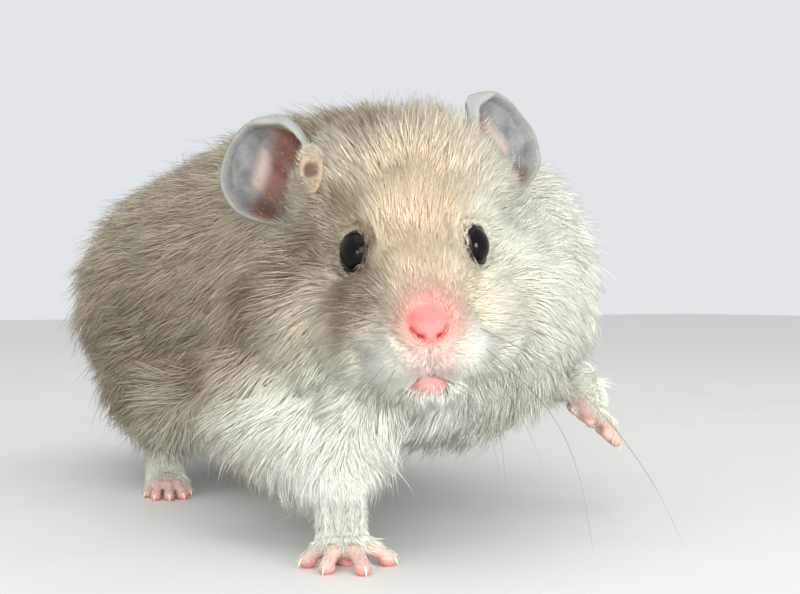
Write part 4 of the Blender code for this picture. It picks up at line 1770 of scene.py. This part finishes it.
# Soft folds of the cup: place beside the head and up, size that way and that, and rise.
EAR_FOLDS = (
    ((0.52, 0.58), (0.20, 0.26), -1.3),
    ((0.05, 0.42), (0.10, 0.20), 0.9),
    ((0.22, 0.26), (0.09, 0.16), -0.9),
    ((-0.35, 0.60), (0.12, 0.30), 0.35),
)


@dataclass
class Ear:
    """A thin cupped ear with a rolled rim, a deep hollow beside the head and a fold at its root.

    Sizes are in millimetres. Lines on the ear run from -1 at its outer edge to 1 beside the head,
    and from 0 at its root to 1 at its tip.
    """

    side: Side
    lean: Triple
    facing: Triple
    base: Triple = (12.3, -13.3, 3.0)
    width: float = 18.5
    height: float = 18.5
    thickness: float = 0.5
    segments: int = 56
    funnel_arc: float = math.radians(125)
    tip_arc: float = math.radians(41)
    hair_density: float = 4.0
    concha: Line = ((0.50, 0.86), (0.62, 0.66), (0.2, 0.56), (-0.2, 0.48), (-0.5, 0.43), (-0.85, 0.36))
    # Where the painted highlight runs along the ridge.
    ridge_highlight: Line = ((-0.05, 0.70), (-0.45, 0.58))
    seed: int = 31
    frame: Frame = field(init=False)
    inner: Array = field(init=False)
    height_share: Array = field(init=False)

    def __post_init__(self) -> None:
        """Sets the ear's own frame: up along its lean, forward the way its hollow looks."""
        up = HEAD.direction(*self.lean).normalized()
        look = HEAD.direction(self.side.sign * self.facing[0], *self.facing[1:])
        forward = (look - up * look.dot(up)).normalized()
        base = HEAD.at(self.side.sign * self.base[0], *self.base[1:])
        self.frame = Frame(base, up.cross(-forward), forward, up)

    def build(self) -> Piece:
        """Makes the ear, with the attributes that its finish reads.

        Returns:
            The ear.
        """
        medial = -self.side.sign * (1 if self.frame.left.dot(HEAD.left) > 0 else -1)
        bm = bmesh.new()
        bmesh.ops.create_grid(bm, x_segments=self.segments, y_segments=self.segments, size=1.0)
        spots = []
        for vert in bm.verts:
            across = vert.co.x * math.sqrt(1 - vert.co.y**2 / 2)
            height = (vert.co.y * math.sqrt(1 - vert.co.x**2 / 2) + 1) / 2
            spots.append((across * medial, height, math.hypot(across, height * 2 - 1)))
            vert.co = self.frame.at(*self._cup(across, height, across * medial))
        name = f"ear_shell_{self.side.value}"
        shell = object_from(name, bm, outward=False)
        store(shell.data, "spot", np.array(spots))
        thick = shell.modifiers.new("thickness", "SOLIDIFY")
        thick.thickness = self.thickness * MM
        thick.offset = 0.0
        smooth = shell.modifiers.new("soften", "SMOOTH")
        smooth.iterations = 2
        ear = applied(shell)
        ear.data.shade_smooth()
        self._paint(ear.data)
        return ear

    def _cup(self, across: float, height: float, medial: float) -> Triple:
        """Bends a place on the flat ear into the cup, with its folds.

        Args:
            across: From -1 to 1 over the width.
            height: From 0 at the root to 1 at the tip.
            medial: From -1 at the outer edge to 1 beside the head.

        Returns:
            The place in the ear's frame.
        """
        narrow = 0.62 + 0.38 * min(1.0, height / 0.5)
        arc = self.funnel_arc + (self.tip_arc - self.funnel_arc) * math.sqrt(height)
        radius = self.width / 2 * narrow / arc
        turn = across * arc
        left = radius * math.sin(turn)
        forward = radius * (math.cos(arc) - math.cos(turn)) - 2.2 * (height - 0.4) ** 2
        edge = math.hypot(across, height * 2 - 1)
        start = 0.88 - 0.12 * float(eased(medial, 0, 0.5))
        roll = max(0.0, (edge - start) / 0.12) * min(1.0, height / 0.35)
        roll *= 0.45 + 0.55 * max(0.0, medial + 0.3)
        forward += 1.5 * math.sin(roll * 2.2)
        shrink = 1 - 0.055 * max(0.0, roll - 0.3)
        for place, size, rise in EAR_FOLDS:
            x, y = (medial - place[0]) / size[0], (height - place[1]) / size[1]
            forward += rise * math.exp(-(x * x + y * y))
        forward += 0.12 * math.sin(11 * across + 5 * height) * math.sin(9 * height)
        return left * shrink, forward, height * self.height * (1 - 0.02 * roll)

    def _paint(self, mesh: Mesh) -> None:
        """Marks the rim, the red hollow, the painted shade in a crease and under the rolled rim, the
        painted highlight along the ridge and the back.

        Args:
            mesh: The ear's mesh.
        """
        medial, height, edge = rows_of(mesh.attributes["spot"].data, "vector", 3).T
        inner = eased(normals_of(mesh) @ np.array(self.frame.forward), -0.15, 0.15)
        flat = np.stack((medial, height), axis=1)
        wide = 0.19 * eased(medial, 0, 0.5)
        rim = eased(edge + wide, 0.88, 0.97) * (0.5 + 0.5 * eased(medial, -0.4, 0.4))
        upper = eased(medial, -0.4, 0.3)
        hollow = 0.9 * by_path(flat, self.concha, 0.02 + 0.06 * upper, 0.18 + 0.12 * upper)
        under = eased(medial, -0.5, -0.1) * (1 - eased(height + 0.25 * medial, 0.36, 0.5))
        hollow = np.maximum(hollow, 0.8 * under)
        # Painted highlight along the ridge.
        ridge_highlight = by_path(flat, self.ridge_highlight, 0.02, 0.13)
        # Painted shade in a crease low on the outer side, and painted shadow under the rolled rim beside
        # the head.
        dark = np.exp(-(((medial + 0.66) / 0.20) ** 2) - ((height - 0.40) / 0.09) ** 2)
        under_rim_shadow = eased(medial, 0.5, 0.68) * eased(height, 0.5, 0.6) * (1 - eased(edge, 0.80, 0.90))
        dark = np.maximum(dark, 0.8 * under_rim_shadow)
        self.inner, self.height_share = inner, height
        store(mesh, "zone", np.stack((rim, np.clip(hollow * inner * 1.3, 0, 1), 1 - inner), axis=1))
        # The painted shade, the painted highlight and the height.
        store(mesh, "crease", np.stack((dark * inner, ridge_highlight * inner, height), axis=1))

    def down(self, ear: Piece) -> Down:
        """The fine hairs on the ear: close on its back, sparse inside.

        Args:
            ear: The ear.

        Returns:
            The hairs' plan.
        """
        low = 1 - eased(self.height_share, 0.05, 0.35)
        density = self.hair_density * (1.15 - 0.85 * self.inner) * (1 + 1.6 * low)
        lead = places_of(ear.data) - np.array(self.frame.at(0, 0, -4))
        name, seed = f"ear_down_{self.side.value}", self.seed + self.side.sign
        return Down(name, ear, seed, density, lead, 0.9 + 1.6 * low, np.full(len(low), 0.055))


EARS = (
    Ear(Side.RIGHT, (-0.58, -0.20, 0.80), (0.44, 0.86, 0.0)),
    Ear(Side.LEFT, (0.26, -0.20, 0.92), (0.70, 0.71, 0.0)),
)


@dataclass
class EarKnob:
    """The small curled lobe before the right ear's root, in millimetres."""

    place: Triple = (-12.6, -6.0, 11.1)
    facing: Triple = (-0.25, 1.0, 0.15)
    radius: float = 1.3
    tube: float = 0.42
    dish: float = 0.35
    tall: float = 1.85
    turn: float = math.radians(300)
    start: float = math.radians(-100)
    seed: int = 41

    def build(self) -> Piece:
        """Makes the curl: a round lip bent most of the way about a hollow.

        Returns:
            The knob.
        """
        bm = bmesh.new()
        bmesh.ops.create_circle(bm, cap_ends=True, segments=14, radius=self.tube * MM)
        bmesh.ops.rotate(bm, matrix=Matrix.Rotation(math.radians(90), 3, "X"), verts=bm.verts)
        bmesh.ops.translate(bm, vec=(self.radius * MM, 0, 0), verts=bm.verts)
        bmesh.ops.spin(bm, geom=whole(bm), cent=(0, 0, 0), axis=(0, 0, 1), angle=self.turn, steps=36)
        dish = Matrix.Diagonal((self.radius * MM, self.radius * MM, self.dish * MM, 1))
        bmesh.ops.create_icosphere(bm, subdivisions=3, radius=1.0, matrix=dish)
        toward = HEAD.direction(*self.facing).to_track_quat("Z", "Y").to_matrix().to_4x4()
        stretch = Matrix.Diagonal((1.0, self.tall, 1.0, 1.0))
        turn = Matrix.Rotation(self.start, 4, "Z")
        place = Matrix.Translation(HEAD.at(*self.place)) @ toward @ stretch @ turn
        bmesh.ops.transform(bm, matrix=place, verts=bm.verts)
        return melted("ear_knob", bm, 0.14, 4)

    def down(self, knob: Piece) -> Down:
        """The down that covers the knob's back and sides.

        Args:
            knob: The knob.

        Returns:
            The hairs' plan.
        """
        place = places_of(knob.data)
        off = HEAD.local(place) - np.array(self.place)
        outer = eased(np.hypot(off[:, 0], off[:, 2]), 1.3, 2.0)
        lead = np.tile(np.array(HEAD.direction(-0.3, -0.8, 0.5)), (len(place), 1))
        even = np.ones(len(place))
        return Down("ear_knob_down", knob, self.seed, 36 * outer, lead, 1.3 * even, 0.05 * even, (10, 30))


# Paws

PART_SHIFT = Vector((-1.915, -2.275, 0.0)) * MM
UP = Vector((0, 0, 1))

# Each stretch of a toe from its root to its tip: its radius at either end, in toe radii.
TOE_STRETCHES = ((1.25, 1.0), (0.98, 0.84), (0.86, 0.98))
TOE_PAD = (1.02, 1.1, 0.9)


@dataclass(frozen=True)
class Claw:
    """A claw's sizes in millimetres, before it is turned down from the toe."""

    radius: float = 0.25
    point: float = 0.03
    length: float = 1.05
    bend: float = 0.42
    droop: float = math.radians(38)
    rise: float = 0.25
    start: float = 0.7
    cuts: int = 7

    def shape(self) -> Shape:
        """Makes a claw that stands on the origin and bends to -Y.

        Returns:
            The claw.
        """
        bm = bmesh.new()
        radii = {"radius1": self.radius * MM, "radius2": self.point * MM}
        bmesh.ops.create_cone(bm, cap_ends=True, segments=12, depth=MM, **radii)
        bmesh.ops.translate(bm, vec=(0, 0, 0.5 * MM), verts=bm.verts)
        for step in range(1, self.cuts):
            sliced(bm, step / self.cuts * MM)
        for vert in bm.verts:
            share = vert.co.z / MM
            vert.co.z *= self.length
            vert.co.y -= self.bend * share * share * MM
        return bm


class Limb(Enum):
    """Which pair a paw is of, with its CAD node's name."""

    FORE = "forepaw"
    HIND = "hind_foot"


PALMS = {
    Limb.FORE: (((0, 0, 1.95), (3.8, 2.9, 2.3)), ((0, -1.0, 3.0), (3.1, 2.6, 2.6))),
    Limb.HIND: (((0, 2.2, 1.65), (3.1, 3.0, 1.9)), ((0, -2.6, 2.05), (2.3, 4.4, 2.3))),
}
PADS = {
    Limb.FORE: ((-1.9, 1.0, 1.0), (0.2, 1.8, 1.05), (2.2, 0.9, 1.0), (-1.3, -1.6, 1.15), (1.4, -1.7, 1.15)),
    Limb.HIND: ((-1.8, 3.0, 0.9), (0.0, 3.9, 0.95), (1.8, 3.0, 0.9), (-0.8, 0.2, 0.9), (0.9, -0.6, 0.9)),
}
TOE_RADII = {Limb.FORE: 1.02, Limb.HIND: 0.9}


@dataclass
class Paw:
    """A bare-toed paw: its toes' degrees outward from forward, reach of the tip and of the root."""

    limb: Limb
    side: Side
    frame: Frame
    wrist: Triple
    toes: tuple[Triple, ...]
    seed: int
    planted: bool = True
    sink: float = 0.2
    voxel: float = 0.2
    claw: Claw = Claw()

    def __post_init__(self) -> None:
        """Sets its name and its limb's toe radius."""
        self.name = f"paw_{self.limb.name.lower()}_{self.side.value}"
        self.radius = TOE_RADII[self.limb]

    def claw_nodes(self) -> list[str]:
        """The CAD nodes of its claws."""
        stem = f"{self.limb.name.lower()}_claw_{self.side.value}"
        return [f"{stem}_{number}" for number in range(1, len(self.toes) + 1)]

    def toe_line(self, toe: Triple) -> tuple[Vector, Vector]:
        """A toe's root and tip as places in the paw's frame.

        Args:
            toe: The toe.

        Returns:
            The root and the tip.
        """
        angle, reach, root = toe
        across = math.sin(math.radians(angle)) * self.side.sign
        along = math.cos(math.radians(angle))
        return (
            Vector((across * root, along * root, 1.8)),
            Vector((across * reach, along * reach, self.radius - self.sink)),
        )

    def _add_toe(self, bm: Shape, toe: Triple) -> None:
        """Adds a toe with its knuckle, joint and pad.

        Args:
            bm: The paw's shapes.
            toe: The toe.
        """
        base, tip = self.toe_line(toe)
        knuckle = base.lerp(tip, 0.42) + UP * 0.75
        joint = base.lerp(tip, 0.74) + UP * 0.42
        places = [self.frame.at(*place) for place in (base, knuckle, joint, tip)]
        for start, end, sizes in zip(places, places[1:], TOE_STRETCHES):
            add_limb(bm, start, end, (self.radius * sizes[0], self.radius * sizes[1]))
        pad = tip - (tip - base).normalized() * 0.3 - UP * 0.12
        add_blob(bm, self.frame, tuple(pad), tuple(self.radius * size for size in TOE_PAD))

    def build(self) -> Piece:
        """Makes the paw with its knuckles, finger pads and palm pads.

        Returns:
            The paw.
        """
        bm = bmesh.new()
        for centre, radii in PALMS[self.limb]:
            add_blob(bm, self.frame, centre, radii)
        add_limb(bm, self.frame.at(0, -1.5, 3.0), self.frame.at(*self.wrist), (2.9, 2.75))
        for toe in self.toes:
            self._add_toe(bm, toe)
        for left, forward, size in PADS[self.limb]:
            add_blob(bm, self.frame, (left * self.side.sign, forward, 0.55), (size, size, size * 0.8))
        paw = melted(self.name, bm, self.voxel, 4)
        if self.planted:
            self._flatten(paw.data)
        local = self.frame.local(places_of(paw.data))
        inner = 1 - eased(np.hypot(local[:, 0], local[:, 1]), 2.4, 3.8)
        wrist = np.maximum(eased(local[:, 2], 3.4, 4.6), eased(local[:, 2], 1.6, 2.8) * inner)
        store(paw.data, "wrist", wrist)
        paw.data.shade_smooth()
        return paw

    def _flatten(self, mesh: Mesh) -> None:
        """Cuts the sole flat at the floor.

        Args:
            mesh: The paw's mesh.
        """
        bm = bmesh.new()
        bm.from_mesh(mesh)
        cut = bmesh.ops.bisect_plane(
            bm, geom=whole(bm), dist=1e-6, plane_co=(0, 0, 0), plane_no=(0, 0, -1), clear_outer=True
        )
        rim = [item for item in cut["geom_cut"] if isinstance(item, bmesh.types.BMEdge)]
        bmesh.ops.holes_fill(bm, edges=rim, sides=0)
        bm.to_mesh(mesh)
        bm.free()

    def build_claws(self) -> Piece:
        """Makes the claws, each curved down from a toe's tip.

        Returns:
            The claws.
        """
        bm = bmesh.new()
        for toe in self.toes:
            base, tip = self.toe_line(toe)
            level = Vector((tip.x - base.x, tip.y - base.y, 0)).normalized()
            start = tip + level * self.radius * self.claw.start + UP * self.claw.rise
            aside = self.frame.direction(*level.cross(UP))
            turn = Matrix((aside, self.frame.up, self.frame.direction(*level))).transposed()
            droop = Matrix.Rotation(self.claw.droop, 4, "X")
            place = Matrix.Translation(self.frame.at(*start)) @ turn.to_4x4() @ droop
            part = self.claw.shape()
            bmesh.ops.transform(part, matrix=place, verts=part.verts)
            take_in(bm, part)
        return object_from(f"{self.name}_claws", bm)

    def down(self, paw: Piece) -> Down:
        """The short white hairs: close on the wrist, sparse and fine on the toes.

        Args:
            paw: The paw.

        Returns:
            The hairs' plan.
        """
        mesh = paw.data
        local = self.frame.local(places_of(mesh))
        upper = eased(normals_of(mesh) @ np.array(self.frame.up), -0.35, 0.3)
        out = np.hypot(local[:, 0], local[:, 1])
        raised = eased(local[:, 2], 2.4, 3.8)
        bare = eased(out, 2.2, 4.6) * (1 - raised)
        end = eased(out, self.toes[1][1] - 0.6, self.toes[1][1] + 0.4)
        density = np.maximum((26 - 17 * bare) * upper, 30 * raised) * (1 - 0.7 * end)
        lead = np.stack((local[:, 0], local[:, 1] + 2.0, np.full(len(local), -0.9)), axis=1)
        lead = unit(lead) @ np.array((self.frame.left, self.frame.forward, self.frame.up))
        length, width = 2.1 - 1.0 * bare, 0.10 - 0.045 * bare
        return Down(f"{self.name}_hair", paw, self.seed, density, lead, length, width)


def paw_frame(x: float, y: float, z: float, yaw: float, pitch: float = 0.0) -> Frame:
    """A paw's frame, from a place in millimetres before the part was centred, and degrees."""
    place = Vector((x, y, z)) * MM + PART_SHIFT
    return Frame.turned(place, math.radians(yaw), math.radians(pitch))


STEPPING_TOES = ((-52, 6.0, 2.0), (-2, 7.7, 2.2), (34, 6.8, 2.2), (74, 5.4, 2.0))
RAISED_TOES = ((-26, 5.2, 2.0), (-6, 6.4, 2.2), (14, 6.2, 2.2), (34, 5.2, 2.0))
HIND_TOES = ((-30, 6.2, 3.2), (-12, 9.0, 4.0), (2, 9.6, 4.2), (16, 9.0, 4.0), (34, 6.4, 3.2))
ANKLE = (0.0, -4.6, 7.0)
PAWS = (
    Paw(Limb.FORE, Side.RIGHT, paw_frame(-21.8, -50.4, 0.0, -12), (0.0, -1.6, 8.4), STEPPING_TOES, 51),
    Paw(
        Limb.FORE,
        Side.LEFT,
        paw_frame(26.6, -37.0, 14.6, 58, -40),
        (0.0, -3.6, 4.4),
        RAISED_TOES,
        52,
        planted=False,
    ),
    Paw(Limb.HIND, Side.RIGHT, paw_frame(-23.0, 14.0, 0.0, -14), ANKLE, HIND_TOES, 53),
    Paw(Limb.HIND, Side.LEFT, paw_frame(17.0, 28.5, 0.0, 10), ANKLE, HIND_TOES, 54),
)


# Whiskers


@dataclass(frozen=True)
class Whisker:
    """One whisker as places in the head's frame, with its root's radius, in millimetres."""

    places: tuple[Triple, ...]
    radius: float = 0.075


WHISKERS = (
    Whisker(((5.6, 6.6, -6.6), (9.0, 8.8, -4.5), (11.4, 10.0, -3.9)), 0.05),
    Whisker(
        ((5.8, 11.5, -7.2), (10.6, 14.3, -7.3), (14.7, 14.8, -9.0), (20.6, 12.6, -12.0)),
        0.055,
    ),
    Whisker(
        (
            (6.0, 12.0, -8.9), (12.8, 17.1, -12.6), (18.8, 18.2, -18.5), (24.9, 18.8, -27.8),
            (28.5, 18.0, -36.4),
        ),
        0.085,
    ),
    Whisker(
        ((5.8, 12.4, -10.6), (12.8, 18.7, -17.6), (15.8, 19.8, -25.3), (17.2, 19.1, -36.2)),
        0.08,
    ),
    Whisker(((5.3, 12.6, -11.6), (9.3, 17.4, -17.7), (11.9, 18.4, -25.3)), 0.06),
    Whisker(((4.6, 12.8, -12.0), (6.9, 18.4, -19.0), (7.2, 19.4, -28.3)), 0.055),
    Whisker(((3.9, 12.8, -12.2), (5.4, 19.2, -18.7), (6.4, 20.0, -25.1)), 0.05),
    Whisker(((6.2, 11.6, -8.0), (13.5, 14.8, -9.5), (22.0, 13.0, -15.5)), 0.05),
    Whisker(((-4.6, 12.2, -8.9), (-13.1, 14.8, -6.9), (-22.6, 9.0, -7.0)), 0.06),
    Whisker(((-4.9, 12.2, -9.6), (-13.3, 16.0, -9.0), (-24.2, 10.5, -12.3)), 0.07),
    Whisker(((-4.8, 12.3, -10.5), (-12.3, 16.5, -12.6), (-20.7, 13.5, -19.0)), 0.065),
    Whisker(((-4.4, 12.4, -11.4), (-10.3, 17.1, -16.1), (-14.5, 16.6, -23.6)), 0.06),
    Whisker(((-3.8, 12.6, -12.0), (-7.9, 18.4, -17.2), (-9.4, 18.0, -23.7)), 0.055),
    Whisker(((-5.4, 11.2, -7.9), (-14.0, 12.4, -4.1), (-25.6, 5.3, -3.1)), 0.05),
    Whisker(((-4.4, 3.4, 5.6), (-7.0, 6.0, 9.5), (-9.5, 6.4, 12.5)), 0.045),
    Whisker(((4.4, 3.4, 5.6), (7.0, 6.0, 9.5), (10.0, 6.4, 12.5)), 0.045),
)


@dataclass
class Whiskers:
    """The whiskers, as thin tapering tubes in one piece."""

    rows: tuple[Whisker, ...] = WHISKERS
    rings: int = 16
    taper: float = 0.85
    roundings: int = 5

    def build(self) -> Piece:
        """Makes the tubes.

        Returns:
            The whiskers.
        """
        heights = np.linspace(0, 1, self.rings)
        lines = np.array([self._line(row, heights) for row in self.rows])
        count = len(lines)
        away = np.tile(np.array(HEAD.forward), (count, 1))
        even = np.ones(count)
        width = np.array([row.radius for row in self.rows]) * 2 * MM
        chance = np.linspace(0, 1, count)
        hairs = Hairs(lines[:, 0], away, away, even, width, even, even * 0, chance, even * 0)
        strand = Strand(tuple(heights), tuple(1 - self.taper * heights[:-1]) + (0.0,), rooted=False)
        return strand.grown("whiskers", hairs, lines)

    def _line(self, row: Whisker, heights: Array) -> Array:
        """A smooth line by way of a whisker's places.

        Args:
            row: The whisker.
            heights: Shares of the way along it.

        Returns:
            World places.
        """
        places = np.array([HEAD.at(*place) for place in row.places])
        for _ in range(self.roundings):
            quarter = np.empty((len(places) * 2 - 2, 3))
            quarter[0::2] = places[:-1] * 0.75 + places[1:] * 0.25
            quarter[1::2] = places[:-1] * 0.25 + places[1:] * 0.75
            places = np.concatenate((places[:1], quarter[1:-1], places[-1:]))
        gaps = np.linalg.norm(np.diff(places, axis=0), axis=1)
        along = np.concatenate(([0], np.cumsum(gaps))) / gaps.sum()
        return np.stack([np.interp(heights, along, places[:, axis]) for axis in range(3)], axis=1)


# Studio


@dataclass(frozen=True)
class Lamp:
    """A soft square light, in metres and watts."""

    name: str
    place: Triple
    size: float
    power: float
    colour: Triple

    def build(self, target: Vector) -> None:
        """Adds the light.

        Args:
            target: The world place that it looks at.
        """
        lamp = bpy.data.lights.new(self.name, "AREA")
        lamp.size = self.size
        lamp.energy = self.power
        lamp.color = self.colour
        obj = new_object(self.name, lamp)
        obj.location = self.place
        obj.rotation_euler = (target - Vector(self.place)).to_track_quat("-Z", "Y").to_euler()


LAMPS = (
    Lamp("top", (-0.08, -0.14, 0.62), 0.60, 0.95, (1.0, 0.99, 0.97)),
    Lamp("low", (-0.22, -0.50, 0.18), 0.26, 1.4, (0.98, 1.0, 0.99)),
    Lamp("front_left", (-0.32, -0.31, 0.07), 0.11, 0.4, (1.0, 0.98, 0.95)),
    Lamp("front_right", (0.07, -0.42, 0.065), 0.11, 0.8, (0.98, 1.0, 1.0)),
)


@dataclass
class Studio:
    """A plain pale floor, soft light and the camera."""

    from_eyes: Triple = (-79.2, -133.23, -6.0)
    camera_yaw: float = math.radians(-30)
    lens: float = 54.0
    nearest: float = 0.005
    floor_half: float = 1.6
    sky: Quad = linear(226, 230, 232)
    middle: Triple = (0, -0.02, 0.035)

    def build(self) -> None:
        """Makes the floor, the lights and the camera."""
        scene = bpy.context.scene
        scene.view_settings.view_transform = "Standard"
        bm = bmesh.new()
        bmesh.ops.create_grid(bm, x_segments=1, y_segments=1, size=self.floor_half)
        floor = object_from("floor", bm)
        floor.data.materials.append(FLOOR_FINISH.material())
        world = bpy.data.worlds.new("studio")
        world.use_nodes = True
        background = world.node_tree.nodes["Background"]
        background.inputs["Color"].default_value = self.sky
        scene.world = world
        for lamp in LAMPS:
            lamp.build(Vector(self.middle))
        camera = bpy.data.cameras.new("camera")
        camera.lens = self.lens
        camera.clip_start = self.nearest
        eye = new_object("camera", camera)
        eye.location = HEAD.at(0, 0, 0) + Vector(self.from_eyes) * MM
        eye.rotation_euler = (math.radians(90), 0, self.camera_yaw)
        scene.camera = eye


def main() -> None:
    """Builds the animal and its studio."""
    logging.basicConfig(level=logging.INFO, format="%(name)s %(message)s")
    group = markings_group()
    hide = Hide()
    skin = hide.build()
    finish_piece(skin, SkinFinish(group=group).material(), "fur_cream", *FLESH_NODES)
    eye_finish = EYE_FINISH.material()
    for side in Side:
        eye = Eye(side, hide.eye_axis(side)).build()
        finish_piece(eye, eye_finish, "eye", f"eye_{side.value}")
    coat_finish = CoatFinish(group=group).material()
    Coat(hide, skin).build(coat_finish)
    ear_finish = EarFinish().material()
    for ear in EARS:
        shell = ear.build()
        finish_piece(shell, ear_finish, "ear_skin", f"ear_{ear.side.value}")
        finish_piece(ear.down(shell).grow(hide.unwrap), coat_finish, "fur_face")
    curl = EarKnob()
    knob = curl.build()
    finish_piece(knob, KnobFinish(middle=HEAD.at(*curl.place)).material(), "ear_skin")
    finish_piece(curl.down(knob).grow(hide.unwrap), coat_finish, "fur_face")
    paw_finish, claw_finish = PawFinish().material(), CLAW_FINISH.material()
    for plan in PAWS:
        paw = plan.build()
        finish_piece(paw, paw_finish, "paw_skin", f"{plan.limb.value}_{plan.side.value}")
        finish_piece(plan.build_claws(), claw_finish, "claw", *plan.claw_nodes())
        finish_piece(plan.down(paw).grow(hide.unwrap), coat_finish, "fur_white")
    finish_piece(Whiskers().build(), WHISKER_FINISH.material(), "fur_white")
    Studio().build()


if __name__ == "__main__":
    main()
